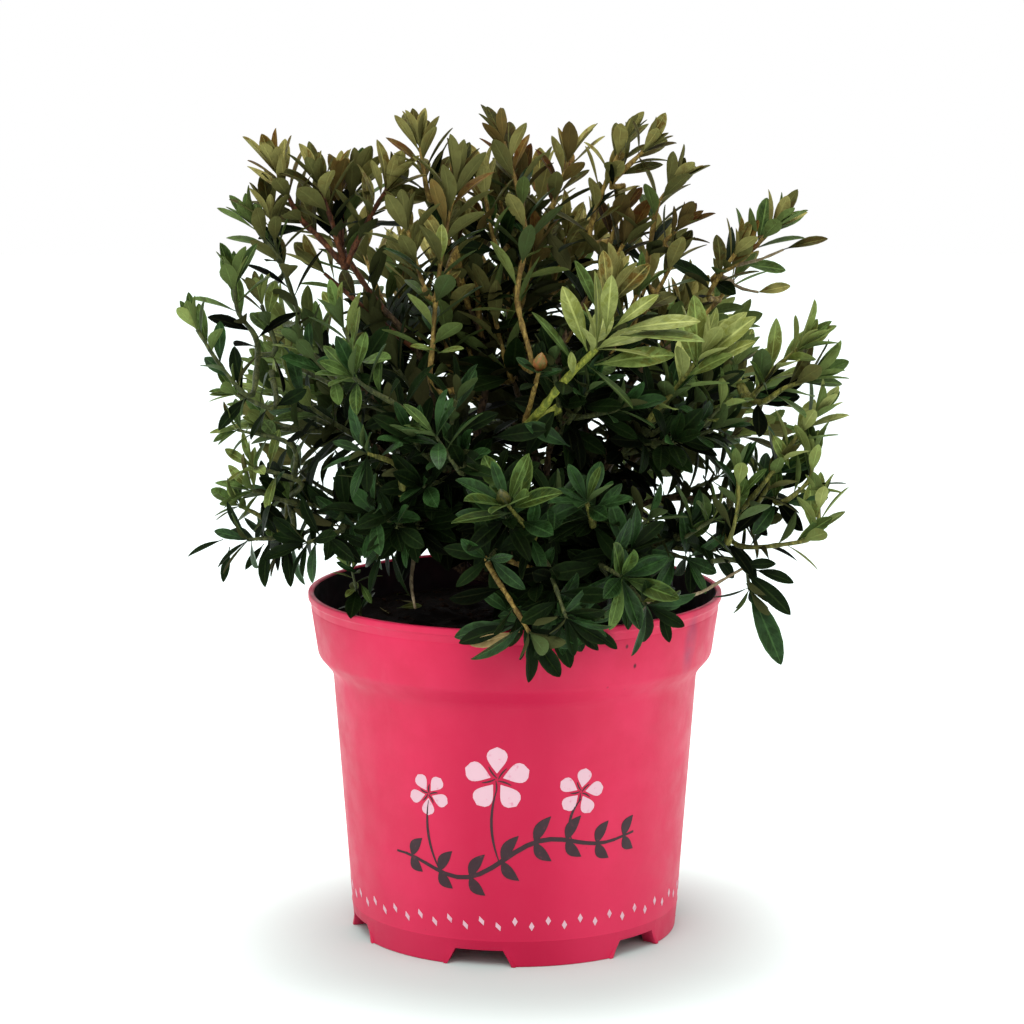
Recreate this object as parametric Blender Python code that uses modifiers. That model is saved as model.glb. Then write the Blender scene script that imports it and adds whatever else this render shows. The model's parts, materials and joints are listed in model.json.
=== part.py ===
"""Potted dwarf rhododendron: a turned nursery pot filled with compost, a short trunk, slender boughs and
masses of leafy shoots. Metres, +Z up, origin on the pot's axis at the level that its feet stand on."""

import math
import random
from collections import namedtuple

import bmesh
import bpy
import numpy as np
from mathutils import Matrix, Vector
from mathutils.bvhtree import BVHTree

# Pot
POT_HEIGHT = 0.158
RIM_RADIUS = 0.095
LIP_HEIGHT = 0.0028
LIP_PROUD = 0.0008
COLLAR_FOOT_HEIGHT = 0.1294
COLLAR_FOOT_RADIUS = 0.0905
BODY_TOP_HEIGHT = 0.1215
BODY_TOP_RADIUS = 0.0838
BASE_RADIUS = 0.0748
WALL = 0.0018
PLATE_HEIGHT = 0.0092
PLATE_THICKNESS = 0.0020
TURN_STEPS = 36

# Drainage
NOTCH_COUNT = 6
NOTCH_FIRST_DEG = -102.5
NOTCH_HEIGHT = 0.0078
NOTCH_FOOT_WIDTH = 0.0300
NOTCH_TOP_WIDTH = 0.0220
CHEEK_DEPTH = 0.0075
CHEEK_THICKNESS = 0.0018
CHEEK_OVERLAP = 0.0002
DRAIN_RADIUS = 0.0045
DRAIN_SIDES = 10
DRAIN_RING = 0.056

# Compost
GAP = 0.0003
COMPOST_HEIGHT = 0.1420
COMPOST_CROWN = 0.0030

# Trunk
TRUNK_TOP = 0.1860
TRUNK_FLARE_RADIUS = 0.0092
TRUNK_FLARE_HEIGHT = 0.0070
TRUNK_RADIUS = 0.0062
TRUNK_TIP_RADIUS = 0.0044
TRUNK_LEAN = 0.0030
TRUNK_RADII = [TRUNK_FLARE_RADIUS, TRUNK_RADIUS, TRUNK_RADIUS, TRUNK_TIP_RADIUS]
TRUNK_ROUNDING = 4

# Boughs
LIMB_STEPS = 3
LIMB_ROUNDING = 1
HEART = Vector((0.0, 0.0, 0.175))
BOUGH_ROOT_RADIUS = 0.0020
BOUGH_TIP_RADIUS = 0.0014
FORK_SHARE = 0.40
BOUGH_BEND = 0.45
BOUGH_LEAVES_AT = 0.35
LOWEST_FORK = 0.20
HIGHEST_FORK = 0.86
SIDE_BOUGH_AT = 0.42
SIDE_BOUGH_FORWARD = 0.6

# Masses
CROWN_HALF_WIDTH = 0.152
CROWN_HALF_DEPTH = 0.143
CROWN_TOP = 0.385
STEM_SHARE = 0.66
STEM_TIP_RADIUS = 0.0012
SHOOT_ROOT_RADIUS = 0.0014
SHOOT_TIP_RADIUS = 0.0009
STEM_BEND = 0.5
SHOOTS_PER_MASS = 5
FIRST_SHOOT_AT = 0.22
LAST_SHOOT_AT = 0.90
SHORTEST_SHOOT = 0.82
SHOOT_BEND = 0.15
SHOOT_SAG = 0.12
GOLDEN_ANGLE = math.radians(137.508)
FACE_TURN = 2 * math.pi / 3
CELL_MARGIN = 0.0010

# Leaves
LEAVES_PER_SHOOT = 6
LEAF_LENGTH = 0.040
LEAF_FIRST_AT = 0.30
LEAF_LAST_AT = 0.97
LEAF_OPEN_DEG = 64.0
LEAF_CLOSED_DEG = 34.0
LEAF_CLEARANCE = 1.08
LEAF_SWAY = 0.35
TIP_CROWDING = 1.4

# Each mass: the bearing of its axis from +X and its lift above level in degrees, its reach from the heart
# of the crown, the radius that its shoots spread to, and what carries its bough. The seed is its place here.
Mass = namedtuple("Mass", "bearing lift reach spread carrier")
MASSES = {
    "crest_left": Mass(-155, 78, 0.184, 0.022, "trunk"),
    "crest": Mass(60, 88, 0.182, 0.024, "trunk"),
    "crest_right": Mass(-8, 74, 0.186, 0.026, "trunk"),
    "crest_back": Mass(80, 68, 0.172, 0.034, "trunk"),
    "shoulder_left": Mass(-175, 62, 0.194, 0.036, "trunk"),
    "shoulder_right": Mass(-10, 63, 0.176, 0.026, "crest_right"),
    "high_back_left": Mass(138, 54, 0.162, 0.036, "shoulder_left"),
    "high_back_right": Mass(45, 54, 0.160, 0.036, "trunk"),
    "wing_right": Mass(-2, 53, 0.184, 0.026, "shoulder_right"),
    "left_upper": Mass(178, 46, 0.166, 0.030, "trunk"),
    "left_wing": Mass(-170, 36, 0.155, 0.028, "left_upper"),
    "right_upper": Mass(-8, 36, 0.150, 0.028, "trunk"),
    "front_bright": Mass(-66, 51, 0.140, 0.026, "trunk"),
    "front_right": Mass(-35, 40, 0.140, 0.030, "front_bright"),
    "front_left": Mass(-118, 36, 0.124, 0.034, "trunk"),
    "left_low": Mass(-168, 17, 0.125, 0.028, "trunk"),
    "left_skirt": Mass(-147, 17, 0.106, 0.022, "left_low"),
    "right_low": Mass(-6, 18, 0.130, 0.030, "trunk"),
    "right_skirt": Mass(-26, 7, 0.114, 0.022, "right_low"),
    "front_centre": Mass(-92, 20, 0.114, 0.030, "trunk"),
    "front_lip": Mass(-80, -4, 0.112, 0.026, "front_centre"),
    "front_low_right": Mass(-60, 11, 0.110, 0.028, "trunk"),
    "front_low_left": Mass(-130, 19, 0.108, 0.028, "trunk"),
    "back_left": Mass(145, 31, 0.148, 0.036, "left_upper"),
    "back_right": Mass(35, 31, 0.148, 0.036, "trunk"),
    "back": Mass(90, 37, 0.138, 0.038, "trunk"),
    "low_back_left": Mass(120, 10, 0.122, 0.034, "trunk"),
    "low_back_right": Mass(60, 10, 0.122, 0.034, "trunk"),
}

PINK = (0.78, 0.05, 0.16)
COMPOST_BROWN = (0.028, 0.017, 0.012)
BARK = (0.16, 0.085, 0.040)
LEAF_GREEN = (0.045, 0.085, 0.020)


def clear_scene():
    for obj in list(bpy.data.objects):
        bpy.data.objects.remove(obj)


def collection(name, hidden=False):
    made = bpy.data.collections.new(name)
    made.hide_render = hidden
    bpy.context.scene.collection.children.link(made)
    return made


def material(name, colour, roughness):
    made = bpy.data.materials.new(name)
    made.use_nodes = True
    shader = made.node_tree.nodes["Principled BSDF"]
    shader.inputs["Base Color"].default_value = (*colour, 1.0)
    shader.inputs["Roughness"].default_value = roughness
    shader.inputs["Metallic"].default_value = 0.0
    return made


def mesh_object(name, bm, group, look=None):
    mesh = bpy.data.meshes.new(name)
    bm.to_mesh(mesh)
    bm.free()
    obj = bpy.data.objects.new(name, mesh)
    if look is not None:
        mesh.materials.append(look)
    group.objects.link(obj)
    return obj


def helper(obj):
    obj.hide_render = True
    obj.display_type = "WIRE"
    return obj


def applied(obj):
    """Bakes the object's modifiers into its mesh."""
    bpy.context.view_layer.update()
    evaluated = obj.evaluated_get(bpy.context.evaluated_depsgraph_get())
    baked = bpy.data.meshes.new_from_object(evaluated)
    obj.modifiers.clear()
    obj.data = baked
    return obj


def world_tree(obj):
    """The object's triangles as a search tree in world space."""
    bpy.context.view_layer.update()
    evaluated = obj.evaluated_get(bpy.context.evaluated_depsgraph_get())
    mesh = evaluated.to_mesh()
    corners = [obj.matrix_world @ vertex.co for vertex in mesh.vertices]
    faces = [tuple(face.vertices) for face in mesh.polygons]
    evaluated.to_mesh_clear()
    return BVHTree.FromPolygons(corners, faces)


def turned(name, profile, group, look):
    """A solid of revolution about Z, from (radius, height) points that run down its outer side."""
    bm = bmesh.new()
    chain = [bm.verts.new((radius, 0.0, height)) for radius, height in profile]
    for first, second in zip(chain, chain[1:]):
        bm.edges.new((first, second))
    obj = mesh_object(name, bm, group, look)
    screw = obj.modifiers.new("turn", "SCREW")
    screw.angle = 2 * math.pi
    screw.steps = TURN_STEPS
    screw.render_steps = TURN_STEPS
    screw.use_merge_vertices = True
    screw.merge_threshold = 0.00001
    return applied(obj)


def outer_radius(height):
    """The pot wall's outer radius below the collar."""
    return BASE_RADIUS + (BODY_TOP_RADIUS - BASE_RADIUS) * height / BODY_TOP_HEIGHT


def pot_profile():
    plate_top = PLATE_HEIGHT + PLATE_THICKNESS
    under_lip = RIM_RADIUS - LIP_PROUD
    return [
        (0.0, plate_top),
        (outer_radius(plate_top) - WALL, plate_top),
        (BODY_TOP_RADIUS - WALL, BODY_TOP_HEIGHT),
        (COLLAR_FOOT_RADIUS - WALL, COLLAR_FOOT_HEIGHT),
        (under_lip - WALL, POT_HEIGHT),
        (RIM_RADIUS, POT_HEIGHT),
        (RIM_RADIUS, POT_HEIGHT - LIP_HEIGHT),
        (under_lip, POT_HEIGHT - LIP_HEIGHT - LIP_PROUD),
        (COLLAR_FOOT_RADIUS, COLLAR_FOOT_HEIGHT),
        (BODY_TOP_RADIUS, BODY_TOP_HEIGHT),
        (BASE_RADIUS, 0.0),
        (BASE_RADIUS - WALL, 0.0),
        (outer_radius(PLATE_HEIGHT) - WALL, PLATE_HEIGHT),
        (0.0, PLATE_HEIGHT),
    ]


def notch_cutter(name, group):
    """A trapezium bar across the foot wall, wider at the ground than at its top."""
    bm = bmesh.new()
    bmesh.ops.create_cube(bm, size=1.0)
    for vertex in bm.verts:
        top = vertex.co.z > 0
        width = NOTCH_TOP_WIDTH if top else NOTCH_FOOT_WIDTH
        reach = CHEEK_DEPTH + WALL
        vertex.co = Vector((
            BASE_RADIUS + (reach if vertex.co.x > 0 else -reach),
            math.copysign(width / 2, vertex.co.y),
            NOTCH_HEIGHT if top else -NOTCH_HEIGHT,
        ))
    return helper(mesh_object(name, bm, group))


def cheek(name, side, group):
    """The short wall that runs inwards from the foot at one side of a notch."""
    bm = bmesh.new()
    bmesh.ops.create_cube(bm, size=1.0)
    for vertex in bm.verts:
        top = vertex.co.z > 0
        edge = (NOTCH_TOP_WIDTH if top else NOTCH_FOOT_WIDTH) / 2
        beyond = -CHEEK_OVERLAP if vertex.co.y * side < 0 else CHEEK_THICKNESS
        vertex.co = Vector((
            BASE_RADIUS - WALL / 2 - (0.0 if vertex.co.x > 0 else CHEEK_DEPTH),
            side * (edge + beyond),
            PLATE_HEIGHT + PLATE_THICKNESS / 2 if top else 0.0,
        ))
    bmesh.ops.recalc_face_normals(bm, faces=bm.faces)
    return helper(mesh_object(name, bm, group))


def drain_cutter(name, group):
    bm = bmesh.new()
    bmesh.ops.create_cone(
        bm,
        cap_ends=True,
        segments=DRAIN_SIDES,
        radius1=DRAIN_RADIUS,
        radius2=DRAIN_RADIUS,
        depth=4 * PLATE_THICKNESS,
    )
    bmesh.ops.translate(bm, verts=bm.verts, vec=(DRAIN_RING, 0.0, PLATE_HEIGHT + PLATE_THICKNESS / 2))
    return helper(mesh_object(name, bm, group))


def boolean(obj, operation, group):
    modifier = obj.modifiers.new(operation.lower(), "BOOLEAN")
    modifier.operation = operation
    modifier.operand_type = "COLLECTION"
    modifier.collection = group
    modifier.solver = "EXACT"


def build_pot(group, look):
    pot = turned("pot", pot_profile(), group, look)
    cheeks = collection("pot cheeks", hidden=True)
    cutters = collection("pot cutters", hidden=True)
    for index in range(NOTCH_COUNT):
        turn = Matrix.Rotation(math.radians(NOTCH_FIRST_DEG + 360 / NOTCH_COUNT * index), 4, "Z")
        for obj in (
            cheek(f"cheek left {index}", 1, cheeks),
            cheek(f"cheek right {index}", -1, cheeks),
            notch_cutter(f"notch {index}", cutters),
            drain_cutter(f"drain {index}", cutters),
        ):
            obj.matrix_world = turn
    boolean(pot, "UNION", cheeks)
    boolean(pot, "DIFFERENCE", cutters)
    applied(pot)
    for used in (cheeks, cutters):
        for obj in list(used.objects):
            bpy.data.objects.remove(obj)
    return pot


def build_compost(group, look):
    plate_top = PLATE_HEIGHT + PLATE_THICKNESS + GAP
    inset = WALL + GAP
    shoulder = COLLAR_FOOT_RADIUS - inset
    slope = (RIM_RADIUS - LIP_PROUD - COLLAR_FOOT_RADIUS) / (POT_HEIGHT - COLLAR_FOOT_HEIGHT)
    edge = shoulder + slope * (COMPOST_HEIGHT - COLLAR_FOOT_HEIGHT)
    return turned(
        "compost",
        [
            (0.0, COMPOST_HEIGHT + COMPOST_CROWN),
            (edge * 0.5, COMPOST_HEIGHT + COMPOST_CROWN * 0.7),
            (edge, COMPOST_HEIGHT),
            (shoulder, COLLAR_FOOT_HEIGHT),
            (BODY_TOP_RADIUS - inset, BODY_TOP_HEIGHT),
            (outer_radius(plate_top) - inset, plate_top),
            (0.0, plate_top),
        ],
        group,
        look,
    )


def tube(name, points, radii, group, look=None, section=None, rounding=LIMB_ROUNDING):
    """A tapering tube along the points, with 4 + 2 * rounding sides or with the shape of a section curve."""
    curve = bpy.data.curves.new(name, "CURVE")
    curve.dimensions = "3D"
    curve.use_fill_caps = True
    if section:
        curve.bevel_mode = "OBJECT"
        curve.bevel_object = section
    else:
        curve.bevel_depth = 1.0
        curve.bevel_resolution = rounding
    spline = curve.splines.new("POLY")
    spline.points.add(len(points) - 1)
    for slot, point, radius in zip(spline.points, points, radii):
        slot.co = (*point, 1.0)
        slot.radius = radius
    guide = bpy.data.objects.new(name + " line", curve)
    group.objects.link(guide)
    bpy.context.view_layer.update()
    evaluated = guide.evaluated_get(bpy.context.evaluated_depsgraph_get())
    mesh = bpy.data.meshes.new_from_object(evaluated)
    bpy.data.objects.remove(guide)
    bm = bmesh.new()
    bm.from_mesh(mesh)
    bmesh.ops.remove_doubles(bm, verts=bm.verts, dist=0.000001)
    bmesh.ops.recalc_face_normals(bm, faces=bm.faces)
    return mesh_object(name, bm, group, look)


def three_sided_section():
    curve = bpy.data.curves.new("three-sided section", "CURVE")
    spline = curve.splines.new("POLY")
    spline.points.add(2)
    spline.use_cyclic_u = True
    for index, slot in enumerate(spline.points):
        angle = 2 * math.pi * index / 3
        slot.co = (math.cos(angle), math.sin(angle), 0.0, 1.0)
    section = helper(bpy.data.objects.new("three-sided section", curve))
    bpy.context.scene.collection.objects.link(section)
    return section


def direction(bearing, lift):
    """The unit vector at a bearing from +X and a lift above level, in degrees."""
    across = math.cos(math.radians(lift))
    return Vector((
        across * math.cos(math.radians(bearing)),
        across * math.sin(math.radians(bearing)),
        math.sin(math.radians(lift)),
    ))


def on_axis(mass, share):
    """The point at a share of a mass's reach from the heart of the crown."""
    return HEART + direction(mass.bearing, mass.lift) * mass.reach * share


def arc(start, control, end):
    """Points on a quadratic curve."""
    return [
        start * (1 - t) ** 2 + control * 2 * t * (1 - t) + end * t**2
        for t in (index / LIMB_STEPS for index in range(LIMB_STEPS + 1))
    ]


def at_share(path, share):
    """The point and the direction at a share of a path's length."""
    place = min(max(share, 0.0), 0.9999) * (len(path) - 1)
    index = int(place)
    step = path[index + 1] - path[index]
    return path[index] + step * (place - index), step.normalized()


def tapered(first, last, count):
    return [first + (last - first) * index / (count - 1) for index in range(count)]


def radius_at(radii, share):
    """The radius at a share of a limb's length."""
    place = share * (len(radii) - 1)
    index = int(place)
    return radii[index] + (radii[index + 1] - radii[index]) * (place - index)


def trunk_path():
    foot = COMPOST_HEIGHT + COMPOST_CROWN + GAP
    return [
        Vector((0.0, 0.0, foot)),
        Vector((0.0, 0.0, foot + TRUNK_FLARE_HEIGHT)),
        Vector((TRUNK_LEAN / 3, 0.0, (foot + TRUNK_TOP) / 2)),
        Vector((TRUNK_LEAN, 0.0, TRUNK_TOP)),
    ]


def clear_of(carrier_radius, radius, slant):
    """How far from a limb's axis a side limb starts, so that its flat end clears the limb by the gap."""
    return (carrier_radius + GAP + radius * abs(slant)) / math.sqrt(1 - slant**2)


def bough_path(name, paths):
    """From the trunk's side, or from the side of the bough that carries it, out to where its mass begins."""
    mass = MASSES[name]
    end = on_axis(mass, FORK_SHARE)
    if mass.carrier == "trunk":
        share = LOWEST_FORK + (HIGHEST_FORK - LOWEST_FORK) * mass.lift / 90
        base, along = at_share(trunk_path()[1:], share)
        away = direction(mass.bearing, BOUGH_LEAVES_AT * mass.lift)
        carrier_radius = radius_at(TRUNK_RADII[1:], share)
    else:
        base, along = at_share(paths[mass.carrier], SIDE_BOUGH_AT)
        away = end - base
        away = (away - along * away.dot(along)).normalized()
        away = (away + along * SIDE_BOUGH_FORWARD).normalized()
        carrier_radius = radius_at([BOUGH_ROOT_RADIUS, BOUGH_TIP_RADIUS], SIDE_BOUGH_AT)
    start = base + away * clear_of(carrier_radius, BOUGH_ROOT_RADIUS, away.dot(along))
    control = start + away * (end - start).length * BOUGH_BEND
    return arc(start, control, end)


def stem_path(name, bough):
    """The mass's own stem, which goes on from the bough's tip."""
    along = (bough[-1] - bough[-2]).normalized()
    start = bough[-1] + along * GAP
    end = on_axis(MASSES[name], STEM_SHARE)
    return arc(start, start + along * (end - start).length * STEM_BEND, end)


class Cells:
    """The space of each mass: every point that is nearer to its own limb line than to any other."""

    def __init__(self, paths, stems):
        self.names = list(MASSES)
        lines = [
            paths[name] + stems[name] + [on_axis(mass, share) for share in (0.8, 0.9, 1.0)]
            for name, mass in MASSES.items()
        ]
        self.points = np.array([[tuple(point) for point in line] for line in lines])

    def holds(self, name, point, margin):
        away = np.linalg.norm(self.points - np.array(point), axis=2).min(axis=1)
        own = self.names.index(name)
        nearest = np.delete(away, own).min()
        return away[own] + 2 * margin < nearest


def crosses(tree, first, second):
    """Whether the straight line between two points meets a solid's skin."""
    span = second - first
    return tree.ray_cast(first, span, span.length)[0] is not None


def shoot_paths(name, stem, cells, limbs):
    """The shoots of a mass: a leader from the stem's tip, and others round the stem by the golden angle."""
    mass = MASSES[name]
    rule = random.Random(list(MASSES).index(name) + 1)
    axis = direction(mass.bearing, mass.lift)
    aside = axis.orthogonal().normalized()
    upright = axis.cross(aside)
    turn = rule.uniform(0, 2 * math.pi)
    found = []
    for index in range(SHOOTS_PER_MASS):
        rank = index / (SHOOTS_PER_MASS - 1)
        leaves_at = FIRST_SHOOT_AT + (LAST_SHOOT_AT - FIRST_SHOOT_AT) * rank if index else 1.0
        start, along = at_share(stem, leaves_at)
        angle = turn + index * GOLDEN_ANGLE
        outwards = aside * math.cos(angle) + upright * math.sin(angle)
        share = rule.uniform(SHORTEST_SHOOT, 1.0) if index else 1.0
        for shrink in (1.0, 0.85, 0.7, 0.55):
            end = on_axis(mass, share) + outwards * mass.spread * math.sqrt(rank) * shrink
            span = (end - start).length
            control = (start + end) / 2 + along * span * SHOOT_BEND - Vector((0, 0, SHOOT_SAG * span))
            path = arc(start, control, end)
            inside = all(cells.holds(name, point, 2 * CELL_MARGIN) for point in path[1:])
            spans = list(zip(path[1:], path[2:]))
            struck = any(crosses(tree, first, second) for tree in limbs for first, second in spans)
            if inside and not struck:
                found.append(path)
                break
    return found


def in_crown(point):
    """Whether a point keeps to the crown's whole width, depth and height."""
    return abs(point.x) < CROWN_HALF_WIDTH and abs(point.y) < CROWN_HALF_DEPTH and point.z < CROWN_TOP


def unit_leaf():
    """A leaf one metre long along +Y with its upper face to +Z: a three-sided spindle drawn to a blade."""
    bm = bmesh.new()
    ring = bmesh.ops.create_cone(bm, cap_ends=False, segments=3, radius1=1.0, radius2=0.0, depth=1.0)["verts"]
    bm.verts.ensure_lookup_table()
    left, right, keel = [vertex for vertex in ring if vertex.co.z < 0]
    tip = next(vertex for vertex in ring if vertex.co.z > 0)
    root = bm.verts.new((0.0, -0.02, 0.0))
    for first, second in ((left, right), (right, keel), (keel, left)):
        bm.faces.new((first, second, root))
    left.co = Vector((-0.20, 0.56, 0.03))
    right.co = Vector((0.20, 0.56, 0.03))
    keel.co = Vector((0.0, 0.12, -0.03))
    tip.co = Vector((0.0, 1.0, -0.05))
    bmesh.ops.recalc_face_normals(bm, faces=bm.faces)
    mesh = bpy.data.meshes.new("leaf")
    bm.to_mesh(mesh)
    bm.free()
    return mesh


def leaf_frame(root, along, out, opening, length):
    """Places the unit leaf on a shoot that runs along, on the side that out gives, opened by an angle."""
    axis = along * math.cos(opening) + out * math.sin(opening)
    upper = (along - axis * along.dot(axis)).normalized()
    across = axis.cross(upper)
    turn = Matrix((across, axis, upper)).transposed().to_4x4()
    return Matrix.Translation(root) @ turn @ Matrix.Scale(length, 4)


def face_side(tree, root, along, azimuth):
    """The direction out of the middle of the three-sided shoot's face that lies at an azimuth round it."""
    towards = Matrix.Rotation(azimuth, 3, along) @ along.orthogonal().normalized()
    normal = tree.ray_cast(root, towards)[1]
    return (normal - along * along.dot(normal)).normalized()


def leaf_tree(leaf, frame, swell=1.0):
    grown = frame @ Matrix.Diagonal((swell, 1 + (swell - 1) / 2, 1 + 4 * (swell - 1), 1.0))
    corners = [grown @ vertex.co for vertex in leaf.vertices]
    return corners, BVHTree.FromPolygons(corners, [tuple(face.vertices) for face in leaf.polygons])


def build_mass(name, stem, cells, limbs, leaf, section, group, look):
    """One mass: its stem, shoots and leaves, joined into one solid."""
    body = tube(name, stem, tapered(BOUGH_TIP_RADIUS, STEM_TIP_RADIUS, len(stem)), group, look, section)
    joined = collection(name + " pieces", hidden=True)
    shoots = shoot_paths(name, stem, cells, limbs)
    wood = []
    for index, path in enumerate(shoots):
        radii = tapered(SHOOT_ROOT_RADIUS, SHOOT_TIP_RADIUS, len(path))
        wood.append(tube(f"{name} shoot {index}", path, radii, joined, section=section))
    wood_trees = [world_tree(obj) for obj in [body, *wood]]
    placed = []
    rule = random.Random(name)
    for shoot, path in enumerate(shoots):
        turn = rule.uniform(0, 2 * math.pi)
        others = [tree for index, tree in enumerate(wood_trees) if index != shoot + 1]
        for index in range(LEAVES_PER_SHOOT):
            share = 1 - (1 - index / (LEAVES_PER_SHOOT - 1)) ** TIP_CROWDING
            root, along = at_share(path, LEAF_FIRST_AT + (LEAF_LAST_AT - LEAF_FIRST_AT) * share)
            opening = math.radians(LEAF_OPEN_DEG + (LEAF_CLOSED_DEG - LEAF_OPEN_DEG) * share)
            length = LEAF_LENGTH * rule.uniform(0.85, 1.0)
            for nudge in (0.0, FACE_TURN, -FACE_TURN):
                out = face_side(wood_trees[shoot + 1], root, along, turn + index * GOLDEN_ANGLE + nudge)
                out = Matrix.Rotation(rule.uniform(-LEAF_SWAY, LEAF_SWAY), 3, along) @ out
                frame = leaf_frame(root, along, out, opening, length)
                corners, tree = leaf_tree(leaf, frame, LEAF_CLEARANCE)
                inside = all(in_crown(at) and cells.holds(name, at, CELL_MARGIN) for at in corners)
                if inside and not any(tree.overlap(other) for other in [*limbs, *others, *placed]):
                    placed.append(tree)
                    blade = bpy.data.objects.new(f"{name} leaf {len(placed)}", leaf)
                    blade.matrix_world = frame
                    joined.objects.link(blade)
                    break
    boolean(body, "UNION", joined)
    applied(body)
    for obj in list(joined.objects):
        bpy.data.objects.remove(obj)
    return len(placed)


def main():
    clear_scene()
    plant = collection("potted dwarf rhododendron")
    pink = material("pink pot plastic", PINK, 0.42)
    brown = material("compost", COMPOST_BROWN, 0.95)
    bark = material("bark", BARK, 0.80)
    green = material("leaves", LEAF_GREEN, 0.45)
    section = three_sided_section()

    pot = build_pot(plant, pink)
    compost = build_compost(plant, brown)
    trunk = tube("trunk", trunk_path(), TRUNK_RADII, plant, bark, rounding=TRUNK_ROUNDING)

    paths = {}
    stems = {}
    limbs = [world_tree(obj) for obj in (pot, compost, trunk)]
    for name in MASSES:
        paths[name] = bough_path(name, paths)
        stems[name] = stem_path(name, paths[name])
        radii = tapered(BOUGH_ROOT_RADIUS, BOUGH_TIP_RADIUS, len(paths[name]))
        limbs.append(world_tree(tube("bough_" + name, paths[name], radii, plant, bark)))

    cells = Cells(paths, stems)
    leaf = unit_leaf()
    leaves = sum(
        build_mass(name, stems[name], cells, limbs, leaf, section, plant, green) for name in MASSES
    )
    print(leaves, "leaves")


main()
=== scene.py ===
"""The looks of the potted dwarf rhododendron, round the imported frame: a pink nursery pot with a printed
spray, rough compost, a trunk and boughs with bark, and the leafy shoots that grow on from them.
Metres, +Z up."""

import json
import math
import random
from collections import namedtuple

import bmesh
import bpy
import numpy as np
from mathutils import Matrix, Vector, noise
from mathutils.bvhtree import BVHTree

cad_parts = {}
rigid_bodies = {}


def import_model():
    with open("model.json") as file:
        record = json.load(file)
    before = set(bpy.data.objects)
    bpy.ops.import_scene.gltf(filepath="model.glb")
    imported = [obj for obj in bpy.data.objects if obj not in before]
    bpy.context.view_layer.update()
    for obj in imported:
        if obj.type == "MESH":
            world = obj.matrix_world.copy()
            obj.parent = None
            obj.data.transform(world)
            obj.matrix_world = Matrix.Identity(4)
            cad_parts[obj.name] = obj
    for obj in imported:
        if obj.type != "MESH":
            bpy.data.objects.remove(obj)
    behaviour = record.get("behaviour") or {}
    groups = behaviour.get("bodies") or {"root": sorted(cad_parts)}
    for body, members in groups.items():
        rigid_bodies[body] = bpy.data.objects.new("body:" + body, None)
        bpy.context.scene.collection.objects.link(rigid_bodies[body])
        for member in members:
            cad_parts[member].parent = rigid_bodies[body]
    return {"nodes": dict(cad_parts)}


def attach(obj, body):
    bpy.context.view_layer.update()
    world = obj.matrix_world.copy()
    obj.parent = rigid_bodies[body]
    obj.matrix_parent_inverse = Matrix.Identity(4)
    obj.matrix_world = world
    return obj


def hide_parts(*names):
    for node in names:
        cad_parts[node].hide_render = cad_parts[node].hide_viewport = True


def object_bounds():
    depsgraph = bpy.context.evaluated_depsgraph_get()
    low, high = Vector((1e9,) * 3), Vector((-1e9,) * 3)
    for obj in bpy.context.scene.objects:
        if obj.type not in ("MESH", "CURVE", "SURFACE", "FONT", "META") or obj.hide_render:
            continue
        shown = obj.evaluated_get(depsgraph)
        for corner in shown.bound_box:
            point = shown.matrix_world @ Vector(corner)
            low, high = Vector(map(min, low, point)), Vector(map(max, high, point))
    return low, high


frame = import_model()
CAD_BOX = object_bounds()

# Pot, as in the source of the solids
POT_HEIGHT = 0.158
RIM_RADIUS = 0.095
LIP_HEIGHT = 0.0028
LIP_PROUD = 0.0008
COLLAR_FOOT_HEIGHT = 0.1294
COLLAR_FOOT_RADIUS = 0.0905
BODY_TOP_HEIGHT = 0.1215
BODY_TOP_RADIUS = 0.0838
BASE_RADIUS = 0.0748
WALL = 0.0018
PLATE_HEIGHT = 0.0092
PLATE_THICKNESS = 0.0020
NOTCH_COUNT = 6
NOTCH_FIRST_DEG = -102.5
NOTCH_HEIGHT = 0.0078
NOTCH_FOOT_WIDTH = 0.0300
NOTCH_TOP_WIDTH = 0.0220
CHEEK_DEPTH = 0.0075
CHEEK_THICKNESS = 0.0018
CHEEK_OVERLAP = 0.0002
CHEEK_FOOT = 0.0002
CHEEK_INTO_PLATE = 0.0010
DRAIN_RADIUS = 0.0045
DRAIN_RING = 0.056

# Pot, finer than the solids
TURN_STEPS = 144
ROUNDING_STEPS = 4
RIDGE_HEIGHT = 0.0122
RIDGE_PROUD = 0.00025
RIDGE_HALF = 0.0007
GROOVE_HEIGHT = 0.1512
GROOVE_DEPTH = 0.0002
GROOVE_HALF = 0.0006
DRAIN_SIDES = 24
CORNER_BEVEL = 0.0003
PLATE_MIDDLE = 0.012
# How far below the rim the dark inside begins
INSIDE_BELOW_RIM = 0.0012
# On the collar: a darker violet patch, and small scratches of wear
VIOLET_PATCH = (0.079, -0.049, 0.142)
VIOLET_PATCH_REACH = 0.007
SCRATCHES = [(0.049, -0.0788, 0.1478), (0.053, -0.0752, 0.138), (0.041, -0.0812, 0.129)]
SCRATCH_REACH = 0.0011
# Painted shade: the plastic is darker and redder in a band down its middle, as the light falls on it: half
# the band's width, and how far it lies to the left
SHADE_BAND = 0.046
SHADE_BAND_SHIFT = 0.003

# Compost
GAP = 0.0003
COMPOST_HEIGHT = 0.1420
COMPOST_CROWN = 0.0030
COMPOST_RINGS = 34
COMPOST_STEPS = 108
COMPOST_RELIEF = 0.0022
COMPOST_EDGE = 0.0040
CLODS_PER_METRE = 120
WAVES_PER_METRE = 45
CRUMB_COUNT = 420
CRUMB_REACH = 0.088
CRUMB_SIZE = 0.0016
CRUMB_SIZE_RANGE = 0.0042

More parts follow.
